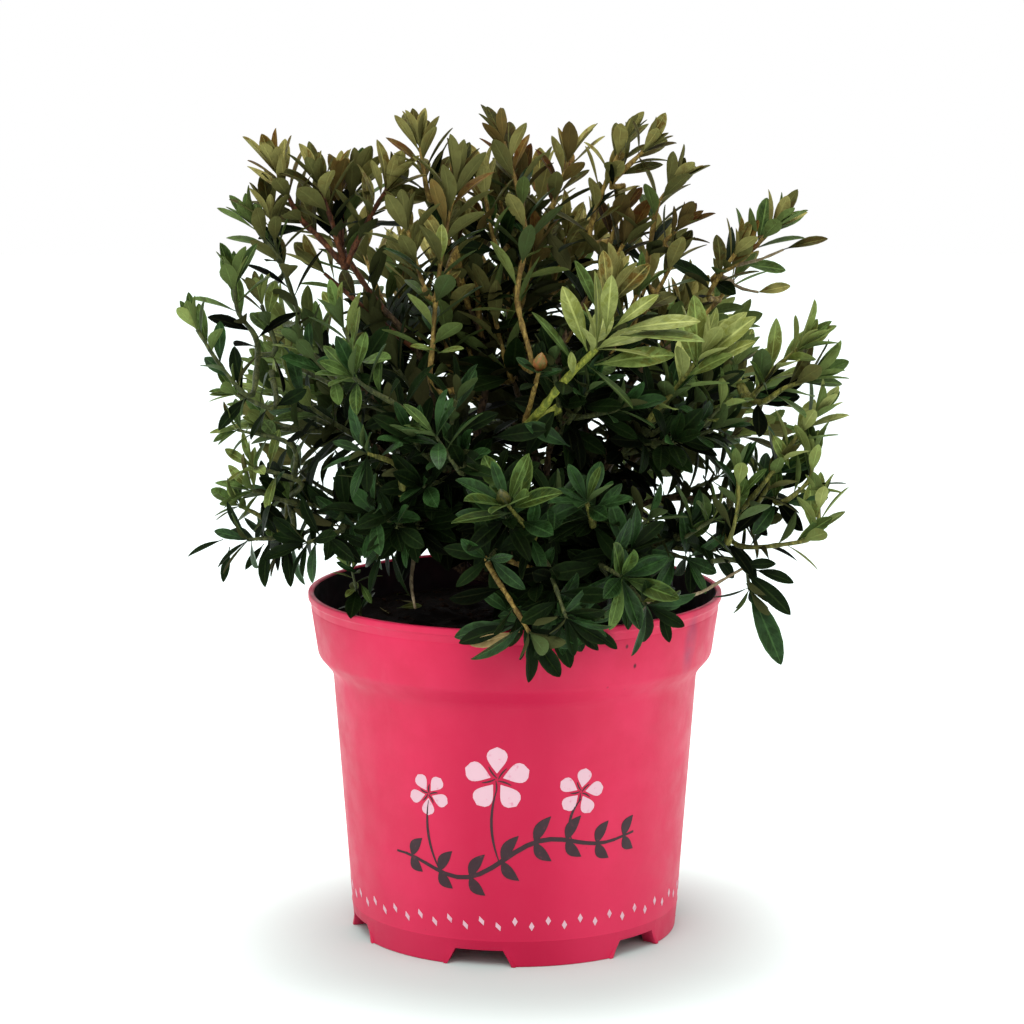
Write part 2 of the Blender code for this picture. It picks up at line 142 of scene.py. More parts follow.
# Trunk and boughs, as in the source of the solids
TRUNK_TOP = 0.1860
TRUNK_FLARE_RADIUS = 0.0092
TRUNK_FLARE_HEIGHT = 0.0070
TRUNK_RADIUS = 0.0062
TRUNK_TIP_RADIUS = 0.0044
TRUNK_LEAN = 0.0030
TRUNK_RADII = [TRUNK_FLARE_RADIUS, TRUNK_RADIUS, TRUNK_RADIUS, TRUNK_TIP_RADIUS]
TRUNK_STEPS = 30
TRUNK_SIDES = 10
BOUGH_SIDES = 3
TRUNK_SUNK = 0.0040
BARK_RELIEF = 0.00035
LIMB_STEPS = 3
HEART = Vector((0.0, 0.0, 0.175))
BOUGH_ROOT_RADIUS = 0.0020
BOUGH_TIP_RADIUS = 0.0014
FORK_SHARE = 0.40
BOUGH_BEND = 0.45
BOUGH_LEAVES_AT = 0.35
LOWEST_FORK = 0.20
HIGHEST_FORK = 0.86
SIDE_BOUGH_AT = 0.42
SIDE_BOUGH_FORWARD = 0.6

# Masses, as in the source of the solids
STEM_SHARE = 0.66
STEM_BEND = 0.5
SHOOTS_PER_MASS = 5
FIRST_SHOOT_AT = 0.22
LAST_SHOOT_AT = 0.90
SHORTEST_SHOOT = 0.82
SHOOT_BEND = 0.15
SHOOT_SAG = 0.12
GOLDEN_ANGLE = math.radians(137.508)
CELL_MARGIN = 0.0010
# How far a shoot is drawn in until it has room
DRAWN_IN = (1.0, 0.85, 0.7, 0.55)

# Each mass: the bearing of its axis from +X and its lift above level in degrees, its reach from the heart
# of the crown, the radius that its shoots spread to, what carries its bough, the palette of its leaves, and
# how far its leaves hang. The seed is its place here.
Mass = namedtuple("Mass", "bearing lift reach spread carrier palette hang")
MASSES = {
    "crest_left": Mass(-155, 78, 0.184, 0.022, "trunk", "bronze", 0.0),
    "crest": Mass(60, 88, 0.182, 0.024, "trunk", "bronze", 0.0),
    "crest_right": Mass(-8, 74, 0.186, 0.026, "trunk", "bronze", 0.0),
    "crest_back": Mass(80, 68, 0.172, 0.034, "trunk", "olive", 0.0),
    "shoulder_left": Mass(-175, 62, 0.194, 0.036, "trunk", "russet", 0.0),
    "shoulder_right": Mass(-10, 63, 0.176, 0.026, "crest_right", "olive", 0.0),
    "high_back_left": Mass(138, 54, 0.162, 0.036, "shoulder_left", "olive", 0.0),
    "high_back_right": Mass(45, 54, 0.160, 0.036, "trunk", "olive", 0.0),
    "wing_right": Mass(-2, 53, 0.184, 0.026, "shoulder_right", "olive", 0.0),
    "left_upper": Mass(178, 46, 0.166, 0.030, "trunk", "leafy", 0.0),
    "left_wing": Mass(-170, 36, 0.155, 0.028, "left_upper", "leafy", 0.0),
    "right_upper": Mass(-8, 36, 0.150, 0.028, "trunk", "leafy", 0.0),
    "front_bright": Mass(-66, 51, 0.140, 0.026, "trunk", "bright", 0.0),
    "front_right": Mass(-35, 40, 0.140, 0.030, "front_bright", "bright", 0.0),
    "front_left": Mass(-118, 36, 0.124, 0.034, "trunk", "green", 0.0),
    "left_low": Mass(-168, 17, 0.125, 0.028, "trunk", "green", 0.15),
    # The deep palette of the low masses is partly their own dark glossy green and partly painted shade under
    # the crown
    "left_skirt": Mass(-147, 17, 0.106, 0.022, "left_low", "deep", 0.15),
    "right_low": Mass(-6, 18, 0.130, 0.030, "trunk", "green", 0.1),
    "right_skirt": Mass(-26, 7, 0.114, 0.022, "right_low", "deep", 0.3),
    "front_centre": Mass(-92, 20, 0.114, 0.030, "trunk", "deep", 0.0),
    "front_lip": Mass(-80, -4, 0.112, 0.026, "front_centre", "deep", 0.5),
    "front_low_right": Mass(-60, 11, 0.110, 0.028, "trunk", "deep", 0.1),
    "front_low_left": Mass(-130, 19, 0.108, 0.028, "trunk", "deep", 0.1),
    "back_left": Mass(145, 31, 0.148, 0.036, "left_upper", "leafy", 0.0),
    "back_right": Mass(35, 31, 0.148, 0.036, "trunk", "leafy", 0.0),
    "back": Mass(90, 37, 0.138, 0.038, "trunk", "green", 0.0),
    "low_back_left": Mass(120, 10, 0.122, 0.034, "trunk", "green", 0.15),
    "low_back_right": Mass(60, 10, 0.122, 0.034, "trunk", "green", 0.15),
}

# Palettes: the tones that a spray may take at its tip, along its middle and at its foot. The darker tones
# towards the foot are partly the older leaves' own dark green and partly painted shade inside the crown
PALETTES = {
    "bronze": (["bronze", "olive", "moss"], ["olive", "moss"], ["moss", "deep"]),
    "tawny": (["bronze", "olive", "moss"], ["olive", "mid", "gloss"], ["mid", "fresh", "gloss"]),
    "russet": (["bronze", "russet", "olive"], ["moss", "russet"], ["deep", "shade"]),
    "olive": (["olive", "moss", "olive"], ["moss", "mid"], ["deep", "shade"]),
    "mossy": (["moss", "mid", "olive"], ["moss", "mid"], ["deep"]),
    "dusk": (["russet", "moss"], ["moss", "deep"], ["shade"]),
    "leafy": (["fresh", "mid", "moss"], ["mid", "gloss"], ["deep", "shade"]),
    "spring": (["fresh", "bright", "mid"], ["fresh", "mid", "gloss"], ["deep", "shade"]),
    "green": (["mid", "gloss", "fresh"], ["gloss", "mid"], ["deep", "shade"]),
    "glossy": (["gloss", "mid"], ["gloss", "deep"], ["deep"]),
    "fair": (["bright", "fresh"], ["fresh", "mid"], ["mid", "deep"]),
    "deep": (["deep", "gloss"], ["deep"], ["shade"]),
    "bright": (["bright"], ["mid"], ["mid", "deep"]),
    # Painted shade: the inner palette's near-black leaves stand for the shade inside the crown
    "inner": (["deep"], ["shade"], ["shade"]),
}
# What the rule's own shoots wear behind the shoots that show: darker palettes, as painted shade for the
# leaves that lie behind
BEHIND = {
    "bronze": "dusk", "russet": "mossy", "olive": "mossy", "leafy": "green", "green": "deep",
    "bright": "deep", "deep": "deep",
}
# Each tone of leaf: its dark colour, its light colour and that of its blotches in screen steps, how rough
# and how glossy it is, and its material slot
Tone = namedtuple("Tone", "dark light blotch rough gloss slot")
TONES = {
    # The shade tone is near black: painted shade for leaves inside the crown
    "shade": Tone((3, 6, 2), (9, 15, 6), (8, 9, 3), 0.65, 0.01, "foliage_green"),
    "deep": Tone((4, 9, 3), (22, 38, 13), (16, 24, 8), 0.50, 0.04, "foliage_green"),
    "gloss": Tone((7, 20, 5), (50, 80, 40), (24, 42, 13), 0.36, 0.13, "foliage_green"),
    "mid": Tone((12, 28, 5), (92, 116, 58), (50, 60, 18), 0.44, 0.07, "foliage_green"),
    "fresh": Tone((32, 52, 14), (134, 150, 80), (84, 82, 30), 0.46, 0.08, "foliage_green"),
    "moss": Tone((12, 15, 3), (92, 92, 48), (56, 42, 12), 0.50, 0.04, "foliage_olive"),
    "olive": Tone((30, 34, 7), (150, 144, 82), (88, 62, 18), 0.50, 0.05, "foliage_olive"),
    "bronze": Tone((24, 16, 2), (118, 94, 44), (84, 44, 10), 0.48, 0.05, "foliage_bronze"),
    "russet": Tone((14, 10, 2), (84, 62, 26), (62, 30, 8), 0.48, 0.04, "foliage_bronze"),
    "bright": Tone((66, 80, 28), (154, 160, 94), (106, 112, 46), 0.48, 0.10, "foliage_bright"),
    "straw": Tone((118, 96, 54), (184, 158, 110), (132, 98, 56), 0.62, 0.16, "foliage_bright"),
}

# Stems
SMOOTH_STEPS = 12
STEM_SIDES = 2
SHOOT_ROOT_RADIUS = 0.0014
SHOOT_TIP_RADIUS = 0.0009
TWIG_ROOT_RADIUS = 0.0010
TWIG_TIP_RADIUS = 0.0007
SHOWN_ROOT_RADIUS = 0.0018
SHOWN_TIP_RADIUS = 0.0010
SHOWN_STEP = 0.0035
# The skins of shoots: how stout each is beside the others, how far apart its leaves stand, the colours of its
# cracks and of its bark in screen steps, and how rough it is
Skin = namedtuple("Skin", "stout leaf_step crack light rough")
SKINS = {
    "tan": Skin(0.85, 0.0031, (88, 66, 24), (172, 146, 72), 0.55),
    "red": Skin(0.95, 0.0021, (54, 26, 12), (128, 74, 40), 0.55),
    "green": Skin(0.8, 0.0034, (46, 54, 26), (96, 100, 54), 0.5),
    "lime": Skin(0.9, 0.0034, (72, 74, 28), (144, 140, 66), 0.5),
    "sap": Skin(1.3, 0.0036, (86, 98, 28), (172, 174, 66), 0.5),
    "pale": Skin(0.6, 0.0036, (112, 96, 72), (168, 150, 118), 0.7),
}
SKIN_OF_PALETTE = {"russet": "red", "bronze": "tan", "olive": "tan"}
KNOB = 0.20
TWIG_AT = 0.30
TWIG_LENGTH = 0.032
TWIG_OPEN_DEG = 42.0
TWIG_LIFT = 0.25
TWIG_SAG = 0.08
TWIG_MARGIN = 0.012

# Leaves
LEAF_LENGTH = 0.027
LEAVES_PER_SHOOT = 13
LEAVES_BEHIND = 9
SHORTER = 0.9
BEHIND_SHARE = 0.78
THIN_BEHIND_SHARE = 0.62
THIN_SHARE = 0.75
THIN_STEP = 2
LEAVES_PER_TWIG = 7
LEAVES_PER_STEM = 18
LEAVES_PER_BOUGH = 9
INNER_FROM_LIFT = 30
ROSETTE_LEAVES = 5
SHOWN_TUFT = 6
SMALL_TUFT = 3
FIRST_LEAF_AT = 0.12
LOW_LEAF_AT = 0.1
LAST_LEAF_AT = 0.97
BOUGH_LEAVES_FROM = 0.45
# How much closer the leaves stand towards the tip
CROWDING = 1.25
# How far a leaf turns round its stem and rolls about its rib by chance, in radians
TURN_SPREAD = 0.3
ROLL_SPREAD = 0.35
LEAF_MARGIN = 0.0022
# From which share of a spray its leaves are young, and below which they are old
YOUNG_FROM = 0.55
OLD_BELOW = 0.25
# The least and the greatest share of the rule's opening and size that chance gives a leaf
OPENINGS = (0.8, 1.2)
SIZES = (0.84, 1.08)
TUFT_SIZES = (0.7, 0.95)
TIP_SMALLER = 0.08
# What tells whether a leaf of one metre has room: the foot, both sides, the middle and the tip of its blade
LEAF_FOOT = (0, 0.02, 0)
LEAF_SIDES = ((-0.15, 0.6, 0.05), (0.15, 0.6, 0.05))
LEAF_MIDDLE = (0, 0.5, 0)
LEAF_TIP = (0, 1, -0.1)
# How strongly a leaf's face is turned up to the light
FACE_LIFT = 0.35
# The share of leaves that differ from their spray's own tone
ODD_LEAVES = 0.45
LIGHT_PULL = 0.18
BLADE_COLUMNS = 4
BLADE_ROWS = [0.0, 0.10, 0.19, 0.32, 0.47, 0.62, 0.77, 0.89, 0.965, 1.0]
BLADE_THICKNESS = 0.012
# How much paler a leaf's rib is than its light colour, and what is added to that; its margin takes the same
# paler colour as a painted highlight along the edge
PALE_RIB_AND_EDGE_HIGHLIGHT = 1.7
PALE_RIB_AND_EDGE_HIGHLIGHT_LIFT = (0.014, 0.014, 0.005)
PETIOLE_HALF_WIDTH = 0.016
NARROWEST = 0.006
ROW_SHIFT = 10.0
# How a spray holds its leaves, in degrees off its stem: at its foot, near its tip, and in the tuft at its tip
Habit = namedtuple("Habit", "foot tip tuft")
HABITS = {"upright": Habit(62, 32, 22), "star": Habit(80, 70, 48)}
UPRIGHT_FROM_LIFT = 30
# Masses that the photo shows sky through
THIN = {
    "left_skirt", "right_skirt", "right_low", "wing_right", "high_back_right", "high_back_left",
    "crest_left", "crest_right", "shoulder_left", "shoulder_right", "left_upper", "left_wing",
    "low_back_right", "right_upper",
}

# Shoots that show from the front, grown on from their mass: their palette, the skin of their stem, their
# habit, the count and length of their leaves, and the places that they pass through
UP = "upright"
SHOWN = {
    "shoulder_left": [
        ("bronze", "red", UP, 16, 0.026, [(-0.076, -0.020, 0.309), (-0.087, -0.024, 0.322),
            (-0.096, -0.028, 0.332), (-0.104, -0.034, 0.350)]),
        ("olive", "red", UP, 13, 0.026, [(-0.076, -0.020, 0.309), (-0.081, -0.026, 0.328),
            (-0.086, -0.032, 0.345)]),
        ("mossy", "red", UP, 14, 0.025, [(-0.076, -0.018, 0.310), (-0.078, -0.012, 0.322),
            (-0.072, -0.010, 0.343)]),
        ("russet", "red", UP, 9, 0.021, [(-0.078, -0.014, 0.318), (-0.079, -0.015, 0.343)]),
        ("bronze", "red", UP, 13, 0.025, [(-0.076, -0.020, 0.309), (-0.067, -0.023, 0.327),
            (-0.057, -0.027, 0.344)]),
    ],
    "left_upper": [
        ("olive", "green", UP, 12, 0.024, [(-0.097, -0.022, 0.285), (-0.101, -0.026, 0.302),
            (-0.105, -0.028, 0.313), (-0.108, -0.032, 0.330)]),
        ("leafy", "green", UP, 7, 0.022, [(-0.103, -0.027, 0.308), (-0.115, -0.030, 0.327)]),
        ("green", "green", UP, 9, 0.024, [(-0.068, -0.052, 0.268), (-0.075, -0.060, 0.286)]),
        ("green", "green", UP, 9, 0.021, [(-0.080, -0.050, 0.262), (-0.092, -0.056, 0.276)]),
        ("inner", "green", UP, 12, 0.027, [(-0.050, -0.006, 0.250), (-0.060, -0.004, 0.272)]),
    ],
    "left_wing": [
        ("spring", "green", UP, 10, 0.023, [(-0.115, -0.045, 0.281), (-0.122, -0.050, 0.292),
            (-0.123, -0.055, 0.304)]),
        ("leafy", "green", UP, 7, 0.020, [(-0.106, -0.040, 0.274), (-0.112, -0.042, 0.294)]),
        ("leafy", "green", UP, 12, 0.021, [(-0.116, -0.060, 0.256), (-0.127, -0.066, 0.268),
            (-0.138, -0.074, 0.287)]),
        ("green", "green", "star", 6, 0.018, [(-0.106, -0.054, 0.250), (-0.122, -0.062, 0.257)]),
    ],
    "left_low": [
        ("leafy", "green", "star", 8, 0.019, [(-0.098, -0.052, 0.232), (-0.122, -0.060, 0.241)]),
        ("green", "green", "star", 7, 0.019, [(-0.095, -0.050, 0.216), (-0.115, -0.058, 0.224)]),
        ("leafy", "lime", "star", 9, 0.018, [(-0.103, -0.045, 0.191), (-0.113, -0.052, 0.201),
            (-0.122, -0.054, 0.206)]),
        ("deep", "green", "star", 7, 0.022, [(-0.099, -0.060, 0.195), (-0.117, -0.072, 0.194)]),
        ("leafy", "green", "star", 8, 0.020, [(-0.098, -0.048, 0.206), (-0.116, -0.056, 0.213)]),
    ],
    "left_skirt": [
        ("deep", "green", "star", 8, 0.022, [(-0.077, -0.060, 0.196), (-0.091, -0.074, 0.193)]),
    ],
    "front_left": [
        ("glossy", "green", "star", 10, 0.023, [(-0.048, -0.074, 0.252), (-0.062, -0.080, 0.261),
            (-0.070, -0.086, 0.268)]),
        ("glossy", "green", "star", 9, 0.023, [(-0.023, -0.084, 0.225), (-0.034, -0.098, 0.244)]),
        ("inner", "green", UP, 12, 0.027, [(-0.040, -0.030, 0.245), (-0.052, -0.034, 0.264)]),
    ],
    "front_low_left": [
        ("deep", "lime", "star", 8, 0.024, [(-0.051, -0.080, 0.228), (-0.064, -0.088, 0.235)]),
        ("deep", "pale", "star", 0, 0.0, [(-0.045, -0.048, 0.183), (-0.046, -0.058, 0.172),
            (-0.044, -0.070, 0.163)]),
    ],
    "crest_left": [
        ("bronze", "tan", UP, 17, 0.023, [(-0.038, -0.028, 0.340), (-0.042, -0.026, 0.3625)]),
        ("tawny", "tan", UP, 24, 0.028, [(-0.0355, -0.057, 0.258), (-0.036, -0.057, 0.280),
            (-0.034, -0.054, 0.304), (-0.030, -0.050, 0.328), (-0.026, -0.046, 0.347)]),
        ("mossy", "tan", UP, 10, 0.024, [(-0.036, -0.056, 0.298), (-0.043, -0.052, 0.313),
            (-0.047, -0.050, 0.328)]),
        ("deep", "tan", UP, 13, 0.028, [(-0.024, 0.000, 0.250), (-0.034, 0.004, 0.276)]),
        ("deep", "tan", UP, 14, 0.029, [(-0.016, -0.004, 0.254), (-0.024, 0.002, 0.280)]),
        ("mossy", "tan", UP, 14, 0.028, [(-0.030, -0.010, 0.262), (-0.028, -0.006, 0.296)]),
    ],
    "crest": [
        ("olive", "tan", UP, 12, 0.023, [(-0.008, -0.016, 0.316), (-0.014, -0.018, 0.343)]),
        ("tawny", "tan", UP, 26, 0.024, [(0.008, -0.045, 0.266), (0.001, -0.035, 0.296),
            (0.005, -0.022, 0.321), (0.001, -0.014, 0.343), (-0.005, -0.008, 0.3635)]),
        ("russet", "tan", UP, 15, 0.024, [(0.014, -0.002, 0.326), (0.024, 0.002, 0.354)]),
        ("inner", "tan", UP, 13, 0.028, [(-0.008, 0.004, 0.255), (-0.013, 0.010, 0.284)]),
        ("mossy", "tan", UP, 14, 0.029, [(-0.002, -0.014, 0.258), (-0.010, -0.010, 0.288)]),
    ],
    "crest_right": [
        ("bronze", "tan", UP, 15, 0.023, [(0.034, -0.004, 0.319), (0.037, -0.008, 0.335),
            (0.048, -0.010, 0.362)]),
        ("olive", "tan", UP, 9, 0.021, [(0.043, -0.012, 0.345), (0.057, -0.018, 0.360)]),
    ],
    "shoulder_right": [
        ("olive", "tan", UP, 12, 0.024, [(0.059, -0.010, 0.301), (0.061, -0.012, 0.319),
            (0.064, -0.014, 0.336), (0.069, -0.016, 0.343)]),
        ("dusk", "tan", UP, 5, 0.020, [(0.067, -0.012, 0.318), (0.072, -0.014, 0.324)]),
    ],
    "wing_right": [
        ("mossy", "tan", UP, 13, 0.024, [(0.089, -0.014, 0.303), (0.101, -0.018, 0.311),
            (0.114, -0.022, 0.325)]),
        ("russet", "tan", UP, 8, 0.021, [(0.087, -0.018, 0.296), (0.098, -0.026, 0.315)]),
        ("mossy", "pale", UP, 0, 0.0, [(0.099, -0.017, 0.309), (0.110, -0.019, 0.312),
            (0.120, -0.021, 0.3165)]),
        ("mossy", "pale", UP, 0, 0.0, [(0.093, -0.016, 0.304), (0.101, -0.018, 0.299),
            (0.109, -0.020, 0.2973)]),
    ],
    "right_upper": [
        ("spring", "lime", UP, 14, 0.026, [(0.104, -0.035, 0.251), (0.114, -0.040, 0.264),
            (0.125, -0.046, 0.275)]),
        ("leafy", "lime", UP, 10, 0.025, [(0.108, -0.038, 0.250), (0.119, -0.050, 0.258),
            (0.129, -0.052, 0.262)]),
        ("green", "green", "star", 9, 0.021, [(0.068, -0.050, 0.235), (0.081, -0.058, 0.242),
            (0.090, -0.062, 0.251)]),
    ],
    "right_low": [
        ("spring", "lime", UP, 18, 0.022, [(0.101, -0.040, 0.202), (0.115, -0.048, 0.221),
            (0.124, -0.050, 0.235), (0.132, -0.052, 0.245)]),
        ("spring", "lime", UP, 14, 0.021, [(0.098, -0.042, 0.187), (0.123, -0.048, 0.188),
            (0.134, -0.050, 0.193), (0.135, -0.050, 0.205)]),
        ("green", "lime", UP, 15, 0.022, [(0.117, -0.048, 0.206), (0.130, -0.050, 0.216),
            (0.132, -0.050, 0.226)]),
        ("leafy", "lime", UP, 11, 0.020, [(0.102, -0.035, 0.195), (0.112, -0.042, 0.211),
            (0.117, -0.046, 0.222)]),
        ("green", "green", "star", 9, 0.022, [(0.072, -0.048, 0.190), (0.088, -0.054, 0.200)]),
        ("green", "lime", UP, 11, 0.021, [(0.094, -0.060, 0.190), (0.098, -0.064, 0.206),
            (0.098, -0.066, 0.221)]),
    ],
    "front_bright": [
        ("bright", "sap", "star", 6, 0.033, [(0.005, -0.064, 0.243), (0.011, -0.078, 0.252),
            (0.021, -0.086, 0.266), (0.035, -0.092, 0.281)]),
        ("mossy", "tan", UP, 10, 0.026, [(0.037, -0.045, 0.274), (0.043, -0.048, 0.300)]),
        ("deep", "tan", "star", 4, 0.014, [(0.005, -0.064, 0.243), (0.007, -0.078, 0.256),
            (0.0102, -0.092, 0.2712)]),
    ],
    "front_right": [
        ("fair", "lime", UP, 13, 0.028, [(0.059, -0.060, 0.246), (0.069, -0.068, 0.259),
            (0.080, -0.074, 0.275)]),
    ],
    "front_centre": [
        ("glossy", "lime", "star", 9, 0.029, [(0.009, -0.088, 0.197), (-0.003, -0.110, 0.216)]),
    ],
    "front_low_right": [
        ("glossy", "lime", "star", 9, 0.025, [(0.034, -0.084, 0.202), (0.031, -0.098, 0.215)]),
        ("glossy", "green", "star", 9, 0.029, [(0.037, -0.090, 0.186), (0.046, -0.106, 0.184)]),
        ("deep", "green", "star", 7, 0.025, [(0.048, -0.090, 0.178), (0.057, -0.098, 0.170)]),
        ("deep", "pale", "star", 0, 0.0, [(0.059, -0.076, 0.166), (0.080, -0.068, 0.169),
            (0.090, -0.062, 0.173), (0.1025, -0.058, 0.1795)]),
    ],
    "front_lip": [
        ("deep", "green", "star", 9, 0.026, [(0.013, -0.095, 0.189), (0.022, -0.117, 0.168)]),
        ("deep", "tan", "star", 9, 0.027, [(-0.012, -0.090, 0.190), (-0.002, -0.108, 0.174),
            (0.006, -0.116, 0.162)]),
    ],
    "right_skirt": [
        ("deep", "green", "star", 3, 0.018, [(0.095, -0.055, 0.182), (0.102, -0.058, 0.180),
            (0.104, -0.058, 0.169)]),
    ],
    "low_back_left": [
        ("deep", "pale", "star", 0, 0.0, [(-0.040, 0.080, 0.176), (-0.052, 0.096, 0.168)]),
    ],
}
# Single leaves that stand out from the front: root, tip, tone, blade, and the way that the upper face looks,
# where that isn't to the front
FRONT = (0.0, -1.0, 0.6)
SINGLE = [
    ((0.031, -0.092, 0.280), (0.021, -0.096, 0.308), "bright", "broad"),
    ((0.039, -0.095, 0.288), (0.041, -0.100, 0.313), "bright", "broad"),
    ((0.042, -0.094, 0.290), (0.060, -0.098, 0.306), "bright", "broad", (-0.4, -1.0, 0.9)),
    ((0.044, -0.094, 0.289), (0.078, -0.102, 0.297), "bright", "broad", (-0.2, -0.5, 1.0)),
    ((0.045, -0.095, 0.287), (0.080, -0.106, 0.290), "fresh", "mature", (0.0, -0.3, 1.0)),
    ((0.034, -0.092, 0.274), (0.067, -0.104, 0.282), "fresh", "broad", (-0.2, -0.9, 0.9)),
    ((0.025, -0.090, 0.269), (0.024, -0.094, 0.280), "bright", "young"),
    ((0.036, -0.080, 0.295), (0.027, -0.078, 0.318), "mid", "narrow", (0.6, -1.0, 0.3)),
    ((-0.010, -0.076, 0.240), (0.012, -0.088, 0.246), "deep", "mature"),
    ((0.024, -0.076, 0.236), (0.006, -0.086, 0.248), "gloss", "mature"),
    ((0.004, -0.076, 0.230), (0.014, -0.086, 0.251), "deep", "arched"),
    ((0.040, -0.070, 0.302), (0.039, -0.068, 0.321), "olive", "mature", (0.3, -1.0, 0.2)),
    ((0.079, -0.076, 0.271), (0.079, -0.080, 0.302), "fresh", "mature", (0.5, -1.0, 0.3)),
    ((0.078, -0.078, 0.272), (0.072, -0.084, 0.292), "fresh", "broad"),
    ((0.081, -0.076, 0.273), (0.102, -0.084, 0.295), "bright", "broad", (-0.2, -0.8, 0.9)),
    ((0.082, -0.076, 0.271), (0.102, -0.086, 0.285), "bright", "broad", (-0.2, -0.7, 1.0)),
    ((0.074, -0.074, 0.266), (0.092, -0.086, 0.279), "fresh", "broad", (-0.2, -0.8, 0.9)),
    ((-0.032, -0.056, 0.315), (-0.032, -0.058, 0.331), "bright", "mature"),
    ((-0.034, -0.060, 0.276), (-0.045, -0.066, 0.280), "fresh", "mature", (0.0, -0.6, 1.0)),
    ((-0.034, -0.060, 0.275), (-0.023, -0.066, 0.279), "fresh", "mature", (0.0, -0.6, 1.0)),
    ((-0.064, -0.090, 0.235), (-0.064, -0.094, 0.219), "deep", "mature"),
    ((-0.069, -0.086, 0.268), (-0.076, -0.092, 0.286), "gloss", "mature"),
    ((-0.070, -0.086, 0.268), (-0.083, -0.092, 0.276), "mid", "mature"),
    ((0.101, -0.058, 0.178), (0.123, -0.064, 0.160), "deep", "broad", (0.3, -1.0, 0.8)),
    ((0.103, -0.058, 0.172), (0.119, -0.066, 0.137), "gloss", "narrow", (0.2, -1.0, 0.3)),
    ((0.108, -0.020, 0.297), (0.123, -0.022, 0.301), "olive", "mature"),
    ((0.120, -0.021, 0.3165), (0.139, -0.024, 0.323), "moss", "narrow", (0.0, -0.8, 1.0)),
    ((0.052, -0.096, 0.171), (0.066, -0.100, 0.175), "bright", "mature", (0.0, -0.6, 1.0)),
    ((0.063, -0.094, 0.167), (0.067, -0.099, 0.154), "deep", "mature", (0.0, -1.0, 0.2)),
    ((-0.129, -0.060, 0.192), (-0.145, -0.062, 0.186), "deep", "narrow", (0.0, -0.5, 1.0)),
    ((-0.126, -0.062, 0.189), (-0.129, -0.066, 0.174), "deep", "narrow"),
    ((-0.111, -0.060, 0.190), (-0.119, -0.066, 0.180), "deep", "narrow"),
    ((-0.101, -0.060, 0.190), (-0.099, -0.066, 0.172), "deep", "narrow"),
    ((-0.080, -0.066, 0.202), (-0.083, -0.070, 0.185), "deep", "narrow"),
    ((0.122, -0.050, 0.222), (0.115, -0.054, 0.237), "fresh", "mature"),
    ((0.132, -0.050, 0.194), (0.131, -0.054, 0.215), "fresh", "mature"),
    ((0.100, -0.058, 0.180), (0.115, -0.062, 0.182), "deep", "mature"),
    ((0.106, -0.058, 0.178), (0.124, -0.060, 0.174), "deep", "arched"),
    ((0.126, -0.050, 0.190), (0.140, -0.054, 0.201), "mid", "mature"),
    ((0.124, -0.050, 0.208), (0.139, -0.054, 0.213), "gloss", "mature"),
    ((-0.002, -0.104, 0.163), (-0.026, -0.108, 0.159), "gloss", "mature"),
    ((-0.0705, -0.047, 0.167), (-0.0725, -0.067, 0.160), "deep", "mature"),
    ((-0.069, -0.048, 0.170), (-0.064, -0.056, 0.163), "mid", "broad"),
    ((-0.070, -0.046, 0.174), (-0.079, -0.050, 0.180), "gloss", "broad"),
    ((0.002, -0.106, 0.160), (-0.019, -0.111, 0.1545), "straw", "narrow", (0.0, -0.8, -0.2)),
    ((-0.001, -0.106, 0.163), (-0.024, -0.112, 0.157), "deep", "broad"),
    ((-0.002, -0.100, 0.167), (-0.014, -0.106, 0.178), "gloss", "mature"),
]
# Fallen leaves on the compost: place across and along, and bearing in degrees
FALLEN_LENGTH = 0.012
FALLEN = [
    (-0.0585, 0.014, 110), (-0.055, 0.018, 15), (-0.037, 0.017, 10), (-0.045, 0.034, 160),
    (-0.050, 0.050, 120), (0.030, 0.052, 200),
]
FALLEN_TONES = ["olive", "fresh", "straw"]
FALLEN_RISE = 0.0012
ABOVE_ALL = Vector((0, 0, 0.2))
DOWN = Vector((0, 0, -1))
# A seedling by the left rim: the places that it passes through
SEEDLING = [(-0.070, -0.040, 0.144), (-0.069, -0.044, 0.158), (-0.073, -0.046, 0.176)]
SEEDLING_RADIUS = 0.0006
SEEDLING_LEAVES = 12
SEEDLING_LEAF = 0.013
# Buds: foot, the way that each points, and how ripe it is
BUD_LENGTH = 0.0090
BUDS = [((0.0102, -0.092, 0.2712), (0.15, -0.3, 1.0), 1.0), ((-0.004, -0.111, 0.216), (-0.3, -0.5, 1.0), 0.0)]
RIPENESS = 0.6
BUD_ON_EVERY = 9


def linear(steps, alpha=1.0):
    """A colour in the 0 to 255 steps of a screen as the linear values of a shader."""
    return (*(((step / 255 + 0.055) / 1.055) ** 2.4 for step in steps), alpha)


# Working with Blender's tools as by hand


def take(obj):
    """Leaves one object selected and active."""
    bpy.ops.object.select_all(action="DESELECT")
    obj.select_set(True)
    bpy.context.view_layer.objects.active = obj
    return obj


def added(name, primitive, **settings):
    """Adds a primitive with nothing else selected, names it and returns it."""
    bpy.ops.object.select_all(action="DESELECT")
    primitive(**settings)
    obj = bpy.context.active_object
    obj.name = name
    obj.data.name = name
    return obj


def settle(obj):
    """Puts the object's place into its mesh."""
    take(obj)
    bpy.ops.object.transform_apply(location=True, rotation=True, scale=True)
    return obj


def edit(obj):
    """Starts editing an object's mesh with all of it selected."""
    take(obj)
    bpy.ops.object.mode_set(mode="EDIT")
    bpy.ops.mesh.select_all(action="SELECT")


def leave_edit():
    bpy.ops.object.mode_set(mode="OBJECT")


def linked(name, data):
    """A new object of some data, linked to the scene."""
    obj = bpy.data.objects.new(name, data)
    bpy.context.scene.collection.objects.link(obj)
    return obj


